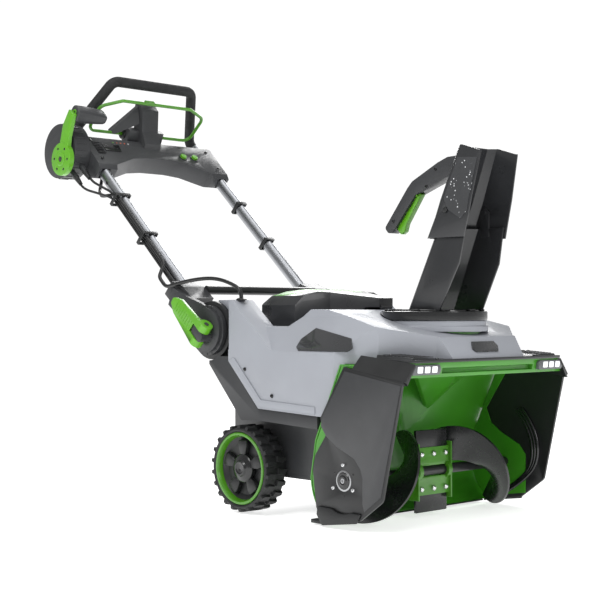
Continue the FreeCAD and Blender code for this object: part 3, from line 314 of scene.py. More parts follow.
def repeatTree():
    # Geometry Nodes: copies of one item at points that carry their own turn
    tree = bpy.data.node_groups.new("repeatItem", "GeometryNodeTree")
    face = tree.interface
    face.new_socket("Geometry", in_out="INPUT", socket_type="NodeSocketGeometry")
    face.new_socket("Item", in_out="INPUT", socket_type="NodeSocketObject")
    face.new_socket("Size", in_out="INPUT", socket_type="NodeSocketFloat").default_value = 1
    face.new_socket("Finish", in_out="INPUT", socket_type="NodeSocketMaterial")
    face.new_socket("Geometry", in_out="OUTPUT", socket_type="NodeSocketGeometry")
    add, join = tree.nodes.new, tree.links.new
    start, end = add("NodeGroupInput"), add("NodeGroupOutput")
    item = add("GeometryNodeObjectInfo")
    turn = add("GeometryNodeInputNamedAttribute")
    turn.data_type = "FLOAT_VECTOR"
    turn.inputs["Name"].default_value = "turn"
    spin = add("FunctionNodeEulerToRotation")
    copies = add("GeometryNodeInstanceOnPoints")
    real = add("GeometryNodeRealizeInstances")
    paint = add("GeometryNodeSetMaterial")
    join(start.outputs["Item"], item.inputs["Object"])
    join(turn.outputs["Attribute"], spin.inputs["Euler"])
    join(start.outputs["Geometry"], copies.inputs["Points"])
    join(item.outputs["Geometry"], copies.inputs["Instance"])
    join(spin.outputs["Rotation"], copies.inputs["Rotation"])
    join(start.outputs["Size"], copies.inputs["Scale"])
    join(copies.outputs["Instances"], real.inputs["Geometry"])
    join(real.outputs["Geometry"], paint.inputs["Geometry"])
    join(start.outputs["Finish"], paint.inputs["Material"])
    join(paint.outputs["Geometry"], end.inputs["Geometry"])
    return tree


repeater = repeatTree()


def repeated(name, item, spots, finish):
    # spots: (place, matrix whose Z is the item's own up)
    mesh = bpy.data.meshes.new(name)
    mesh.from_pydata([tuple(p) for p, _ in spots], [], [])
    data = mesh.attributes.new("turn", "FLOAT_VECTOR", "POINT")
    data.data.foreach_set("vector", [v for _, m in spots for v in m.to_euler()])
    obj = newObject(name, mesh, finish)
    mod = obj.modifiers.new("repeat", "NODES")
    mod.node_group = repeater
    sockets = {s.name: s.identifier for s in repeater.interface.items_tree if s.in_out == "INPUT"}
    mod[sockets["Item"]] = item
    mod[sockets["Size"]] = 1.0
    mod[sockets["Finish"]] = mats[finish]
    obj.data.update()
    settle(obj)
    bpy.data.objects.remove(item)
    return obj


def facing(direction):
    # the turn that stands an item's own up along the direction
    return Vector(direction).to_track_quat("Z", "Y").to_matrix()


def screwItem(radius, height):
    # a pan head with a round sunk socket
    def build(work):
        turned(work, [(0.0001, 0), (radius, 0), (radius, height * 0.45), (radius * 0.82, height * 0.9),
                      (radius * 0.5, height), (radius * 0.44, height * 0.35), (0.0001, height * 0.35)],
               (0, 0, 0), "Z", 18, False)
    return meshOf("screwItem", build, "steel")


def refined(node, finish, width=0.0012, segments=2, angle=25, smooth=32, dissolve=0.6):
    # the CAD node's own shape with its moulded edges rounded off
    mesh = nodes[node].data.copy()
    work = bmesh.new()
    work.from_mesh(mesh)
    bmesh.ops.remove_doubles(work, verts=work.verts, dist=2e-6)
    bmesh.ops.dissolve_limit(work, angle_limit=math.radians(dissolve), verts=work.verts, edges=work.edges)
    work.to_mesh(mesh)
    work.free()
    if "custom_normal" in mesh.attributes:
        mesh.attributes.remove(mesh.attributes["custom_normal"])
    obj = newObject(node + "Skin", mesh, finish)
    if width:
        softened(obj, width, segments, angle)
    settle(obj, smooth)
    return ridesOn(obj, bodyOf[node], slotOf[node], node)


# ---- camera, light and floor ----

view = dict(place=(-2.23041, -2.01724, 0.44688), ahead=(0.68838, 0.72530, 0.00877),
            up=(-0.00604, -0.00636, 0.99996), lens=80, sensor=36)
cameraData = bpy.data.cameras.new("camera")
cameraData.lens = view["lens"]
cameraData.sensor_width = view["sensor"]
camera = bpy.data.objects.new("camera", cameraData)
bpy.context.scene.collection.objects.link(camera)
ahead, up = Vector(view["ahead"]).normalized(), Vector(view["up"]).normalized()
side = ahead.cross(up)
turnTo = Matrix((side, side.cross(ahead), -ahead)).transposed().to_4x4()
camera.matrix_world = Matrix.Translation(view["place"]) @ turnTo
bpy.context.scene.camera = camera

lights = {
    "keyLight": dict(place=(-2.6, -0.6, 3.2), aim=(0, 0.3, 0.4), size=1.8, power=78),
    "frontLight": dict(place=(-0.4, -3.2, 1.6), aim=(0, 0, 0.35), size=1.2, power=20),
    "rimLight": dict(place=(2.4, 2.4, 2.4), aim=(0, 0.3, 0.5), size=1.6, power=60),
    "topLight": dict(place=(0, 0.3, 3.6), aim=(0, 0.3, 0.4), size=2.2, power=26),
}
for name, look in lights.items():
    lamp = bpy.data.lights.new(name, "AREA")
    lamp.size = look["size"]
    lamp.energy = look["power"]
    holder = bpy.data.objects.new(name, lamp)
    bpy.context.scene.collection.objects.link(holder)
    holder.location = look["place"]
    toAim = Vector(look["aim"]) - Vector(look["place"])
    holder.rotation_euler = toAim.to_track_quat("-Z", "Y").to_euler()

# the backdrop is seen whiter than it lights
studio = dict(lightOnPieces=0.42, backdrop=1.05, floorHalf=30, floorTop=-0.004, floorDeep=0.02, floorTone=0.9,
              floorRough=0.7, floorGlow=0.68)
world = bpy.data.worlds.new("studio")
bpy.context.scene.world = world
world.use_nodes = True
sky = world.node_tree
sky.nodes["Background"].inputs["Color"].default_value = (1, 1, 1, 1)
seen = sky.nodes.new("ShaderNodeLightPath")
bright = sky.nodes.new("ShaderNodeMapRange")
bright.inputs["To Min"].default_value = studio["lightOnPieces"]
bright.inputs["To Max"].default_value = studio["backdrop"]
sky.links.new(seen.outputs["Is Camera Ray"], bright.inputs["Value"])
sky.links.new(bright.outputs["Result"], sky.nodes["Background"].inputs["Strength"])
bpy.context.scene.view_settings.view_transform = "Standard"


def makeFloor():
    def build(work):
        half, top = studio["floorHalf"], studio["floorTop"]
        slab(work, [(x * half, y * half, top) for x, y in ((-1, -1), (1, -1), (1, 1), (-1, 1))],
             (0, 0, -studio["floorDeep"]))
    floor = meshOf("floor", build, "markWhite")
    mat = bpy.data.materials.new("paleFloor")
    mat.use_nodes = True
    shader = next(n for n in mat.node_tree.nodes if n.type == "BSDF_PRINCIPLED")
    shader.inputs["Base Color"].default_value = [studio["floorTone"]] * 3 + [1]
    shader.inputs["Roughness"].default_value = studio["floorRough"]
    shader.inputs["Emission Color"].default_value = (1, 1, 1, 1)
    shader.inputs["Emission Strength"].default_value = studio["floorGlow"]
    floor.data.materials[0] = mat


makeFloor()
print("camera, lights and floor set")


# ---- CAD shapes with rounded edges ----

# node: finish, edge radius
shapes = {
    "housing_shell": ("housingGreen", 0.0008), "side_plate_left": ("blackPlastic", 0.0015),
    "side_plate_right": ("blackPlastic", 0.0015), "wear_shoes": ("blackPlastic", 0.0016),
    "scraper_bar": ("blackPlastic", 0.001), "front_beam": ("housingGreen", 0.002),
    "hood_strip": ("charcoalSmooth", 0.0015), "lamp_bezels": ("lampGrey", 0.001),
    "lamp_lenses": ("lampLens", 0.0006), "body_shell": ("shellGrey", 0.0035),
    "badge_plates": ("badge", 0.0006), "base_pan": ("charcoal", 0.0022),
    "pivot_discs": ("blackPlastic", 0.0018), "neck_flange": ("shellGrey", 0.002),
    "battery_packs": ("charcoal", 0.003), "battery_tray": ("blackPlastic", 0.001),
    "auger_motor": ("motorPaint", 0.0015), "motor_controller": ("motorPaint", 0.0015),
    "auger_bearings": ("steel", 0.0008), "drive_belt": ("blackPlastic", 0.0003),
    "belt_cover": ("blackPlastic", 0.0015), "wheel_axle": ("steel", 0.0006),
    "auger_shaft": ("powderBlack", 0.0006), "auger_paddles": ("augerRubber", 0.0018),
    "auger_brackets": ("bracketGreen", 0.0014), "auger_pulley": ("steel", 0.0006),
    "motor_pulley": ("steel", 0.0005), "chute_turntable": ("blackGloss", 0.0022),
    "chute_duct": ("charcoalSmooth", 0.0014), "deflector_hood": ("charcoalSmooth", 0.0014),
    "deflector_handle": ("charcoal", 0.003), "deflector_trigger": ("lime", 0.0004),
    "handle_bracket_left": ("charcoal", 0.0022), "handle_bracket_right": ("charcoal", 0.0022),
    "cross_bar": ("powderBlack", 0.0008), "console": ("charcoal", 0.003),
    "cable_clips": ("blackPlastic", 0.0008), "chute_control": ("charcoal", 0.003),
    "chute_lever": ("lime", 0.0016), "lock_lever_left": ("lime", 0.0022),
    "lock_lever_right": ("lime", 0.0022), "battery_lid": ("charcoalSmooth", 0.0028),
    "lid_window": ("windowGreen", 0.0025), "start_button": ("lime", 0.001), "lamp_button": ("lime", 0.001),
}
for node, (finish, width) in shapes.items():
    refined(node, finish, width)
smoothShapes = {"handle_tube_left": "tubeBright", "handle_tube_right": "tubeBright", "grip_bar": "foam",
                "bail_wire": "limeWire", "control_cables": "cableBlack"}
for node, finish in smoothShapes.items():
    refined(node, finish, 0, smooth=40, dissolve=0.05)
for node in ("auger_flight_left", "auger_flight_right"):
    refined(node, "augerRubber", 0.0022, angle=50, smooth=45, dissolve=0.05)
print("moulded shapes rounded", len(shapes))


# ---- wheels ----

wheel = dict(carcass=0.0905, blockHigh=0.0061, blocks=22, spokes=5)


def treadBlock():
    def build(work):
        foot = [(0.0015, -0.0075), (0.0200, -0.0100), (0.0292, -0.0060), (0.0292, 0.0030), (0.0190, 0.0025),
                (0.0030, 0.0068)]
        cx, cy = 0.015, -0.002
        low = [work.verts.new((x, y, -0.0012)) for x, y in foot]
        high = wheel["blockHigh"]
        top = [work.verts.new((cx + (x - cx) * 0.9, cy + (y - cy) * 0.84, high)) for x, y in foot]
        work.faces.new(list(reversed(low)))
        work.faces.new(top)
        for i in range(len(foot)):
            j = (i + 1) % len(foot)
            work.faces.new((low[i], low[j], top[j], top[i]))
    return meshOf("treadBlock", build, "tyreRubber")


def spokeItem():
    def build(work):
        slab(work, [(-0.0085, 0.0300, 0), (0.0085, 0.0300, 0), (0.0150, 0.0500, 0), (0.0135, 0.0630, 0),
                    (-0.0135, 0.0630, 0), (-0.0150, 0.0500, 0)], (0, 0, 0.0125))
    return settle(softened(meshOf("spokeItem", build, "blackPlastic"), 0.003, 2))


def makeWheel(sideName, sign):
    low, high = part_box("tyre_" + sideName)
    body = "wheel_" + sideName
    middle = (low + high) / 2
    half = (high.x - low.x) / 2
    r = wheel["carcass"]

    def carcass(work):
        turned(work, [(0.0813, -half * 0.9), (0.0860, -half), (r - 0.001, -half * 0.94), (r, -half * 0.8),
                      (r, half * 0.8), (r - 0.001, half * 0.94), (0.0860, half), (0.0813, half * 0.9)],
               middle, "X", 96)
    tyre = meshOf("tyreCarcass" + sideName.title(), carcass, "tyreRubber")
    ridesOn(settle(softened(tyre, 0.0008)), body, "tyre", "tyre_" + sideName)

    spots = []
    for k in range(wheel["blocks"]):
        for row, shift in ((1, 0), (-1, 0.5)):
            a = 2 * math.pi * (k + shift) / wheel["blocks"]
            out = Vector((0, math.cos(a), math.sin(a)))
            across = Vector((row, 0, 0))
            turn = Matrix((across, out.cross(across), out)).transposed()
            spots.append((middle + out * r, turn))
    tread = repeated("treadBlocks" + sideName.title(), treadBlock(), spots, "tyreRubber")
    ridesOn(tread, body, "tyre")

    def dish(work):
        turned(work, [(0.0001, sign * 0.009), (0.060, sign * 0.007), (0.066, sign * 0.012),
                      (0.0690, sign * 0.0135), (0.0812, sign * 0.0270), (0.0812, -sign * 0.029),
                      (0.0740, -sign * 0.029), (0.0700, -sign * 0.020), (0.0300, -sign * 0.018),
                      (0.0280, -sign * 0.034), (0.0001, -sign * 0.034)], middle, "X", 96)
    rim = settle(softened(meshOf("rimDish" + sideName.title(), dish, "blackPlastic"), 0.0008))
    ridesOn(rim, body, "rim_black", "rim_" + sideName)

    def greenRing(work):
        turned(work, [(0.0700, sign * 0.0156), (0.0742, sign * 0.0292), (0.0795, sign * 0.0292),
                      (0.0808, sign * 0.0262), (0.0725, sign * 0.0146)], middle, "X", 96)
    ring = settle(softened(meshOf("rimRing" + sideName.title(), greenRing, "limeWire"), 0.0006))
    ridesOn(ring, body, "lime_plastic")

    def cap(work):
        turned(work, [(0.0001, sign * 0.0262), (0.0100, sign * 0.0262), (0.0125, sign * 0.0278),
                      (0.0160, sign * 0.0278), (0.0185, sign * 0.0235), (0.0270, sign * 0.0215),
                      (0.0320, sign * 0.0180), (0.0345, sign * 0.0085), (0.0001, sign * 0.0085)],
               middle, "X", 40)
    hub = settle(softened(meshOf("hubCap" + sideName.title(), cap, "blackGloss"), 0.0008))
    ridesOn(hub, body, "rim_black")

    spots = []
    for k in range(wheel["spokes"]):
        a = 2 * math.pi * k / wheel["spokes"] + 0.3
        out = Vector((0, math.cos(a), math.sin(a)))
        up = Vector((sign, 0, 0))
        spots.append((middle + up * 0.007, Matrix((out.cross(up), out, up)).transposed()))
    spokes = repeated("hubLumps" + sideName.title(), spokeItem(), spots, "blackPlastic")
    ridesOn(spokes, body, "rim_black")


makeWheel("left", 1)
makeWheel("right", -1)
print("wheels made")


# ---- side plates and auger ----

plate = dict(skinDeep=0.0014, hubRing=0.0165, smallHoles=3, holeCircle=0.030)


def plateSkin(sign):
    low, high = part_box("side_plate_right" if sign < 0 else "side_plate_left")
    face = low.x if sign < 0 else high.x
    line = [(-0.2440, 0.300), (-0.0880, 0.3245), (-0.0210, 0.2220), (-0.0180, 0.2080), (-0.0330, 0.1875),
            (-0.0660, 0.1660), (-0.1150, 0.1460), (-0.1330, 0.1260), (-0.1390, 0.1080), (-0.1385, 0.0560),
            (-0.1440, 0.0400), (-0.1900, 0.0740)]

    def build(work):
        slab(work, [(face, y, z) for y, z in line], (sign * plate["skinDeep"], 0, 0))
    skin = meshOf("plateSkin" + ("Right" if sign < 0 else "Left"), build, "charcoal")
    ridesOn(settle(softened(skin, 0.0009)), "chassis", "charcoal")
    if sign > 0:
        return
    # the auger's end shows on the right-hand plate
    middle = Vector((face, -0.084, 0.098))

    def ring(work):
        turned(work, [(0.0060, -0.0032), (0.0090, -0.0036), (0.0120, -0.0018), (plate["hubRing"], -0.0022),
                      (plate["hubRing"] + 0.002, 0.0004), (0.0060, 0.0004)], middle, "X", 48)
    ridesOn(settle(softened(meshOf("hubSeat", ring, "blackGloss"), 0.0004)), "chassis", "charcoal")

    def core(work):
        turned(work, [(0.0001, -0.0012), (0.0022, -0.0012), (0.0030, -0.0034), (0.0052, -0.0034),
                      (0.0058, 0.0004), (0.0001, 0.0004)], middle, "X", 24)
    ridesOn(settle(meshOf("hubBolt", core, "steel")), "chassis", "steel_satin")

    spots = []
    for k in range(plate["smallHoles"]):
        a = math.radians(30 + 120 * k)
        circle = plate["holeCircle"]
        place = middle + Vector((-0.0002, circle * math.cos(a), circle * math.sin(a)))
        spots.append((place, facing((-1, 0, 0))))
    ridesOn(repeated("hubDimples", screwItem(0.0021, 0.0008), spots, "blackGloss"), "chassis", "charcoal")


plateSkin(-1)
plateSkin(1)


def islands(node):
    # middle and size of each separate solid in a CAD node
    work = bmesh.new()
    work.from_mesh(nodes[node].data)
    bmesh.ops.remove_doubles(work, verts=work.verts, dist=2e-6)
    left, found = set(work.verts), []
    while left:
        stack, group = [left.pop()], []
        while stack:
            v = stack.pop()
            group.append(v.co.copy())
            for e in v.link_edges:
                w = e.other_vert(v)
                if w in left:
                    left.remove(w)
                    stack.append(w)
        low = Vector([min(c[i] for c in group) for i in range(3)])
        high = Vector([max(c[i] for c in group) for i in range(3)])
        found.append(((low + high) / 2, high - low))
    work.free()
    return sorted(found, key=lambda f: tuple(f[0]))


def domeItem(radius, height):
    def build(work):
        turned(work, [(0.0001, 0), (radius, 0), (radius, height * 0.35), (radius * 0.86, height * 0.75),
                      (radius * 0.5, height), (0.0001, height * 1.05)], (0, 0, 0), "Z", 20, False)
    return meshOf("domeItem", build, "boltBright")


spots = []
for middle, size in islands("housing_screws"):
    thin = min(range(3), key=lambda i: size[i])
    toward = Vector((0, 0, 0))
    toward[thin] = 1 if (thin == 2 or middle[thin] > 0) else -1
    foot = middle.copy()
    foot[thin] -= toward[thin] * size[thin] / 2
    spots.append((foot, facing(toward)))
ridesOn(repeated("housingScrews", screwItem(0.0046, 0.0034), spots, "boltBright"), "chassis", "steel_satin",
        "housing_screws")

spots = [(m + Vector((0, s.y / 2, 0)), facing((0, -1, 0))) for m, s in islands("auger_bolts")]
ridesOn(repeated("augerBolts", domeItem(0.0062, 0.0072), spots, "boltBright"), "auger", "bolt_chrome",
        "auger_bolts")

# ribs wrapped round the inner face of each plate
guard = dict(line=[(-0.128, 0.222), (-0.166, 0.178), (-0.176, 0.108), (-0.140, 0.060), (-0.080, 0.024)],
             ribs=3, step=0.0085, thick=0.0042, inset=0.0092)
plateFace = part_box("side_plate_left")[1].x
for sign, sideName in reversed(sides):
    inner = sign * (plateFace - guard["inset"])
    for k in range(guard["ribs"]):
        push = (k - 1) * guard["step"]
        route = [(inner, y - push * 0.9, z + push * 0.25) for y, z in guard["line"]]
        rib = tube(f"guardRib{sideName}{k}", route, guard["thick"], "blackGloss")
        ridesOn(rib, "chassis", "black_plastic")


def gusset(name, x0, x1, x2):
    # a slanting web under the housing roof, low at x0 and x2
    def build(work):
        corners = [(x0, -0.066, 0.300), (x1, -0.118, 0.3325), (x2, -0.066, 0.300), (x1 - 0.01, -0.020, 0.226)]
        front = [work.verts.new(c) for c in corners]
        back = [work.verts.new((c[0], c[1] + 0.012, c[2])) for c in corners]
        work.faces.new((front[0], front[1], front[3]))
        work.faces.new((front[1], front[2], front[3]))
        for i in range(4):
            j = (i + 1) % 4
            work.faces.new((front[i], back[i], back[j], front[j]))
        work.faces.new((back[0], back[3], back[2], back[1]))
    piece = meshOf(name, build, "housingGreen")
    ridesOn(settle(softened(piece, 0.001)), "chassis", "housing_green")


gusset("roofGusset", -0.02, 0.075, 0.135)

# green cheeks closing the housing between its back wall and the side plates
cheek = dict(x=0.2625, thick=0.0028, line=[
    (-0.030, 0.0120), (-0.015, 0.0250), (0.001, 0.0460), (0.0115, 0.0715), (0.0155, 0.0980), (0.0020, 0.1750),
    (-0.0020, 0.1820), (-0.0690, 0.3280), (-0.0720, 0.3340), (-0.1080, 0.3340), (-0.0960, 0.3180),
    (-0.0300, 0.2200), (-0.0440, 0.1860), (-0.0760, 0.1640), (-0.1260, 0.1400), (-0.1440, 0.1180),
    (-0.1430, 0.0300)])
for sign, sideName in sides:
    def cheekPlate(work, sign=sign):
        slab(work, [(sign * cheek["x"], y, z) for y, z in cheek["line"]], (sign * cheek["thick"], 0, 0))
    ridesOn(settle(meshOf("housingCheek" + sideName, cheekPlate, "housingGreen")), "chassis", "housing_green")
print("plates and auger dressed")


# ---- hood, lamps and shell ----

# the corner ribs step back, outward and up from the first
hood = dict(ribs=9, ribLong=0.058, ribWide=0.0028, ribHigh=0.0016, first=Vector((0.200, -0.240, 0.3541)),
            outward=0.012, backward=0.074, slope=0.0052 / 0.098, lead=0.004)


def ribItem(long, wide, high):
    def build(work):
        slab(work, [(-long / 2, -wide / 2, 0), (long / 2, -wide / 2, 0), (long / 2, wide / 2, 0),
                    (-long / 2, wide / 2, 0)], (0, 0, high))
    return settle(softened(meshOf("ribItem", build, "charcoal"), high * 0.35, 1))


for sign, sideName in sides:
    spots = []
    for k in range(hood["ribs"]):
        t = k / (hood["ribs"] - 1)
        back = hood["backward"] * t
        step = Vector((hood["outward"] * t, back, hood["slope"] * (back + hood["lead"])))
        place = hood["first"] + step
        place.x *= sign
        spots.append((place, facing((0, -0.053, 1))))
    rib = ribItem(hood["ribLong"], hood["ribWide"], hood["ribHigh"])
    ribs = repeated("cornerRibs" + sideName, rib, spots, "charcoal")
    ridesOn(ribs, "chassis", "charcoal")

spots = [((x, y, z), facing(d)) for x, y, z, d in (
    (-0.228, -0.176, 0.3575, (0, 0, 1)), (0.228, -0.176, 0.3575, (0, 0, 1)),
    (-0.165, -0.246, 0.3502, (0, 0, 1)), (0.165, -0.246, 0.3502, (0, 0, 1)),
    (-0.262, 0.236, 0.318, (-1, 0, 0)), (-0.262, 0.146, 0.262, (-1, 0, 0)),
    (0.262, 0.236, 0.318, (1, 0, 0)), (0.262, 0.146, 0.262, (1, 0, 0)))]
ridesOn(repeated("shellScrews", screwItem(0.0044, 0.003), spots, "blackGloss"), "chassis", "steel_satin")

# the shell's rolled lower lip
lip = dict(line=[(0.290, 0.338), (0.190, 0.236), (0.010, 0.229)], wide=0.016, deep=0.0022)


def shellLip(sign):
    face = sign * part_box("body_shell")[1].x
    a, b, c = lip["line"]

    def build(work):
        w = lip["wide"]
        slab(work, [(face, a[0], a[1]), (face, b[0], b[1]), (face, c[0], c[1]), (face, c[0], c[1] + w),
                    (face, b[0] - w * 0.5, b[1] + w), (face, a[0] - w * 1.1, a[1] + w * 0.3)],
             (sign * lip["deep"], 0, 0))
    obj = meshOf("shellLip" + ("Left" if sign > 0 else "Right"), build, "shellGrey")
    ridesOn(settle(softened(obj, 0.0015)), "chassis", "shell_grey")


shellLip(-1)
shellLip(1)


def cableSeat(work):
    turned(work, [(0.0052, -0.001), (0.0052, 0.0045), (0.0080, 0.0040), (0.0125, 0.0012), (0.0125, -0.001)],
           (-0.236, 0.278, 0.474), "Z", 32)


ridesOn(settle(meshOf("cableSeat", cableSeat, "blackPlastic")), "chassis", "cable_black")

# clips standing on the turning ring
ringTop = dict(middle=Vector((0, -0.0955, 0.448)), clips=10, clipCircle=0.1055)
straightUp = Vector((0, 0, 1))
spots = []
for k in range(ringTop["clips"]):
    a = 2 * math.pi * (k + 0.5) / ringTop["clips"]
    out = Vector((math.cos(a), math.sin(a), 0))
    turn = Matrix((out.cross(straightUp), out, straightUp)).transposed()
    spots.append((ringTop["middle"] + out * ringTop["clipCircle"], turn))
ridesOn(repeated("ringClips", ribItem(0.020, 0.008, 0.0048), spots, "blackPlastic"), "chute", "black_plastic")


def ringStep(work):
    turned(work, [(0.0960, 0.448), (0.0960, 0.4515), (0.0990, 0.4520), (0.1010, 0.4505), (0.1015, 0.448)],
           (0, -0.0955, 0), "Z", 96)


ridesOn(settle(meshOf("ringStep", ringStep, "blackGloss")), "chute", "black_plastic")
print("hood, shell and ring dressed")


# ---- deflector ----

# the hood's flank leans in above its bend
hoodSide = dict(flat=0.0697, bend=0.686, lean=0.0714, panelThick=0.0013)


def deflectorPanel(sign):
    def build(work):
        rows = [[(-0.2285, 0.6420), (-0.2285, 0.6420)], [(-0.2460, 0.6580), (-0.1950, 0.6620)],
                [(-0.2510, 0.6860), (-0.1830, 0.6860)], [(-0.2685, 0.7680), (-0.2160, 0.7720)]]
        front, back = [], []
        for row in rows:
            for store, push in ((front, hoodSide["panelThick"]), (back, 0.0)):
                ends = []
                for y, z in row:
                    x = hoodSide["flat"] - max(0, z - hoodSide["bend"]) * hoodSide["lean"] + push
                    ends.append(work.verts.new((sign * x, y, z)))
                store.append(ends)
        for store in (front, back):
            for one, two in zip(store, store[1:]):
                work.faces.new((one[0], one[1], two[1], two[0]))
        near, far = [[s[0][0], s[1][1], s[2][1], s[3][1], s[3][0], s[2][0], s[1][0]] for s in (front, back)]
        for i in range(len(near)):
            j = (i + 1) % len(near)
            work.faces.new((near[i], near[j], far[j], far[i]))
    return build


for sign, sideName in sides:
    panel = meshOf("deflectorPanel" + sideName, deflectorPanel(sign), "speckled")
    ridesOn(settle(panel), "deflector", "charcoal")

spots = []
for y, z in ((-0.112, 0.758), (-0.086, 0.722), (0.012, 0.650)):
    for sign in (-1, 1):
        spots.append(((sign * 0.0150, y, z), facing((sign, 0, 0))))
ridesOn(repeated("deflectorScrews", screwItem(0.0036, 0.0022), spots, "blackGloss"), "deflector",
        "steel_satin")

spots = [((sign * 0.0705, -0.187, 0.662), facing((sign, 0, 0))) for sign in (-1, 1)]
ridesOn(repeated("tiltBolts", domeItem(0.0062, 0.0035), spots, "blackPlastic"), "deflector", "steel_satin")
print("deflector dressed")


# ---- handle ----

console = dict(vents=7, ventStep=7.5, buttons=(95, 135), seatSteps=32)

# vents and clamp screws
spots = []
for k in range(console["vents"]):
    turn = Matrix(((1, 0, 0), alongTube, squareUp)).transposed()
    spots.append((onHandle(-186, 700 + console["ventStep"] * k, -9.5), turn))
ridesOn(repeated("consoleVents", ribItem(0.026, 0.0032, 0.0028), spots, "blackPlastic"), "handle", "charcoal")

spots = [(onHandle(x, along, -9.2), facing(squareUp)) for x in (-198, 198) for along in (676, 752)]
ridesOn(repeated("clampScrews", screwItem(0.0042, 0.003), spots, "blackGloss"), "handle", "steel_satin")

# piece: finish, places across the console
dots = {"gaugeAmber": ("markAmber", (-112, -100, -87)), "gaugeGreen": ("lime", (-125,)),
        "gaugeWhite": ("markWhite", (-75,))}
for name, (finish, places) in dots.items():
    spots = [(onHandle(x, 752, -8.8), facing(squareUp)) for x in places]
    ridesOn(repeated(name, domeItem(0.0022, 0.0010), spots, finish), "handle", "button_green")


def buttonSeat(work):
    steps = console["seatSteps"]
    angles = [2 * math.pi * k / steps for k in range(steps)]
    for x in console["buttons"]:
        place = onHandle(x, 716, 0)
        turn = facing(squareUp)
        rings = []
        for radius, height in ((0.0098, -0.0115), (0.0098, -0.0084), (0.0122, -0.0084), (0.0134, -0.0112)):
            rings.append([work.verts.new(place + turn @ Vector((radius * math.cos(a), radius * math.sin(a),
                                                                height)))
                          for a in angles])
        bridged(work, rings, True)


ridesOn(settle(meshOf("buttonSeats", buttonSeat, "blackPlastic")), "handle", "charcoal")


def displayPanel(work):
    corners = [onHandle(x, along, -9.4) for x, along in ((-168, 712), (-118, 712), (-112, 740), (-168, 740))]
    slab(work, corners, squareUp * 0.0018)


ridesOn(settle(softened(meshOf("consolePanel", displayPanel, "blackGloss"), 0.0005)), "handle", "charcoal")

def towerBrace(work):
    # a slanting brace on the bail's tower
    a = [onHandle(x, along, w) for x, along, w in
         ((-27, 838, 62), (-27, 800, 30), (-92, 800, -14), (-104, 812, -14))]
    slab(work, a, alongTube * 0.010)


ridesOn(settle(softened(meshOf("towerBrace", towerBrace, "charcoal"), 0.002)), "handle", "charcoal")


def spine(work):
    # the tower's raised face
    a = [onHandle(x, 801, w) for x, w in ((-14, -18), (14, -18), (14, 28), (-14, 28))]
    slab(work, a, alongTube * -0.004)


ridesOn(settle(softened(meshOf("towerSpine", spine, "charcoalSmooth"), 0.0012)), "handle", "charcoal")

# round bosses where the bail goes in
for sign, sideName in sides:
    def boss(work, sign=sign):
        turned(work, [(0.0056, 0.0585), (0.0056, 0.0630), (0.0120, 0.0630), (0.0150, 0.0605), (0.0150,
                                                                                               0.0560),
                      (0.0056, 0.0560)], onHandle(0, 811, -15), "X", 32)
        if sign < 0:
            bmesh.ops.scale(work, vec=(-1, 1, 1), verts=work.verts)
    ridesOn(settle(softened(meshOf("bailBoss" + sideName, boss, "blackPlastic"), 0.0006)), "handle",
            "charcoal")

# chute control: blank ribs round the barrel, and the lever's dial
control = dict(middle=(759, -58), radius=72, ribs=26, sunk=0.0006, mostBack=0.97, dial=(713, -51),
               dialHoles=6, dialCircle=0.030)
spots = []
for k in range(control["ribs"]):
    a = 2 * math.pi * k / control["ribs"]
    out = alongTube * math.cos(a) + squareUp * math.sin(a)
    # none at the very back, where one would stand past the CAD model
    if out.y > control["mostBack"]:
        continue
    along, w = control["middle"]
    place = onHandle(-250, along, w) + out * (control["radius"] / 1000 - control["sunk"])
    across = Vector((1, 0, 0))
    spots.append((place, Matrix((across, out.cross(across), out)).transposed()))
ridesOn(repeated("barrelRibs", ribItem(0.030, 0.0042, 0.0022), spots, "charcoal"), "handle", "charcoal")

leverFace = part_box("chute_lever")[0].x
spots = []
for k in range(control["dialHoles"]):
    a = 2 * math.pi * k / control["dialHoles"] + 0.4
    out = alongTube * math.cos(a) + squareUp * math.sin(a)
    place = onHandle(0, *control["dial"]) + out * control["dialCircle"] + Vector((leverFace, 0, 0))
    spots.append((place, facing((-1, 0, 0))))
ridesOn(repeated("dialHoles", screwItem(0.0034, 0.0007), spots, "blackGloss"), "lever", "lime_plastic")


def dialFace(work):
    place = onHandle(0, *control["dial"])
    turned(work, [(0.0075, -0.0004), (0.0075, -0.0022), (0.0165, -0.0022), (0.0190, -0.0004)],
           Vector((leverFace, place.y, place.z)), "X", 48)


ridesOn(settle(softened(meshOf("dialFace", dialFace, "lime"), 0.0006)), "lever", "lime_plastic")


def roundedSquare(a, power=0.62):
    # cosine and sine drawn out toward the corners
    c, s = math.cos(a), math.sin(a)
    return math.copysign(abs(c) ** power, c), math.copysign(abs(s) ** power, s)


def leverGrip(work):
    low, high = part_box("chute_lever_grip")
    middle = (low + high) / 2
    half = (high.z - low.z) / 2
    long = high.x - low.x
    rings = []
    # share of the length, width and height
    for t, wide, tall in ((0, 0.80, 0.86), (0.03, 0.92, 0.98), (0.35, 0.94, 0.96), (0.75, 0.98, 0.78),
                          (0.93, 0.94, 0.70), (1, 0.80, 0.58)):
        loop = []
        for k in range(40):
            across, square = roundedSquare(2 * math.pi * k / 40)
            p = alongTube * (across * half * wide) + squareUp * (square * half * tall)
            loop.append(work.verts.new(Vector((low.x + long * t, middle.y, middle.z)) + p))
        rings.append(loop)
    bridged(work, rings)
    work.faces.new(rings[0])
    work.faces.new(rings[-1])


grip = settle(softened(meshOf("leverGrip", leverGrip, "charcoal"), 0.0018))
ridesOn(grip, "lever", "charcoal", "chute_lever_grip")


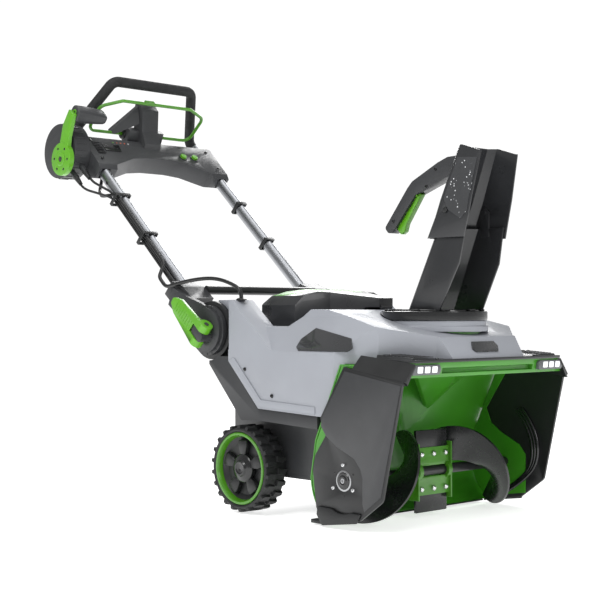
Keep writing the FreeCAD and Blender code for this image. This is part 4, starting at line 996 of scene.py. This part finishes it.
def gripEnd(work):
    low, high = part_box("chute_lever_grip")
    middle = (low + high) / 2
    loops = []
    for push, scale in ((0.0002, 1.0), (-0.0012, 1.0), (-0.0012, 0.72), (0.0001, 0.62)):
        loop = []
        for k in range(32):
            a = 2 * math.pi * k / 32
            p = alongTube * (0.0085 * scale * math.cos(a)) + squareUp * (0.0135 * scale * math.sin(a))
            loop.append(work.verts.new(Vector((low.x + push, middle.y, middle.z)) + p))
        loops.append(loop)
    bridged(work, loops)
    work.faces.new(loops[0])
    work.faces.new(loops[-1])


ridesOn(settle(meshOf("gripEnd", gripEnd, "lime")), "lever", "lime_plastic")

# ribbed boots where the cables leave the control
boots = dict(places=((-256, -72), (-238, -52)), rings=5, groove=0.0062, ridge=0.0084, taper=0.035, step=3.0)
for number, (x, w) in enumerate(boots["places"]):
    def boot(work, x=x, w=w):
        rings = []
        angles = [2 * math.pi * i / 24 for i in range(24)]
        for k in range(boots["rings"] * 2 + 1):
            radius = (boots["groove"] if k % 2 else boots["ridge"]) * (1 - boots["taper"] * k)
            place = onHandle(x, 668 - boots["step"] * k, w)
            rings.append([work.verts.new(place + Vector((radius * math.cos(a), 0, 0))
                                         + squareUp * (radius * math.sin(a))) for a in angles])
        bridged(work, rings)
        work.faces.new(rings[0])
        work.faces.new(rings[-1])
    ridesOn(settle(softened(meshOf(f"cableBoot{number}", boot, "blackPlastic"), 0.0004)), "handle",
            "cable_black")

# marks round the knuckle covers
for sign, sideName in sides:
    spots = []
    for k in range(20):
        a = 2 * math.pi * k / 20
        out = Vector((0, math.cos(a), math.sin(a)))
        place = handleFold + Vector((sign * 0.260, 0, 0)) + out * 0.0550
        axis = Vector((sign, 0, 0))
        spots.append((place, Matrix((out, axis.cross(out), axis)).transposed()))
    ridesOn(repeated("knuckleMarks" + sideName, ribItem(0.0050, 0.0016, 0.0009), spots, "charcoalSmooth"),
            "handle", "charcoal")
    spots = []
    turn = Matrix((squareUp, alongTube * -sign, Vector((sign, 0, 0)))).transposed()
    for k in range(9):
        spots.append((onHandle(sign * 301, 18 + 8.5 * k, 0), turn))
    ribs = repeated("lockRibs" + sideName, ribItem(0.024, 0.0026, 0.0010), spots, "lime")
    ridesOn(ribs, "lock_right" if sign < 0 else "lock_left", "lime_plastic")

# plugs in the tubes' pin holes
spots = [(onHandle(sign * 211, along, -34.8), facing((sign, 0, 0)))
         for sign in (-1, 1) for along in (300, 600)]
ridesOn(repeated("tubePlugs", domeItem(0.0045, 0.0020), spots, "blackPlastic"), "handle", "black_plastic")

# the power lead from the handle to the body
lead = dict(radius=0.0045, bendFrom=(-0.238, 0.300, 0.505), bendTo=(-0.253, 0.520, 0.515))
route = [onHandle(-253, 204.4, -34.8), onHandle(-253, 192, -34.8), onHandle(-253, 178, -19.8),
         Vector((-0.252, 0.440, 0.522)), Vector((-0.248, 0.356, 0.526)), Vector((-0.239, 0.296, 0.508)),
         Vector((-0.236, 0.278, 0.492)), Vector((-0.236, 0.278, 0.4744))]
bridge = tube("powerLead", route, lead["radius"], "cableBlack", steps=24)
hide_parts("bridge_cable")
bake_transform(bridge)
print("handle dressed")


# ---- lid ----

def lidLatch(work):
    foot, top, y = 0.022, 0.018, 0.3035
    slab(work, [(-foot, y, 0.436), (foot, y, 0.436), (top, y, 0.456), (-top, y, 0.456)], (0, 0.004, 0))


ridesOn(settle(softened(meshOf("lidLatch", lidLatch, "blackPlastic"), 0.001)), "lid", "charcoal")
print("lid dressed")
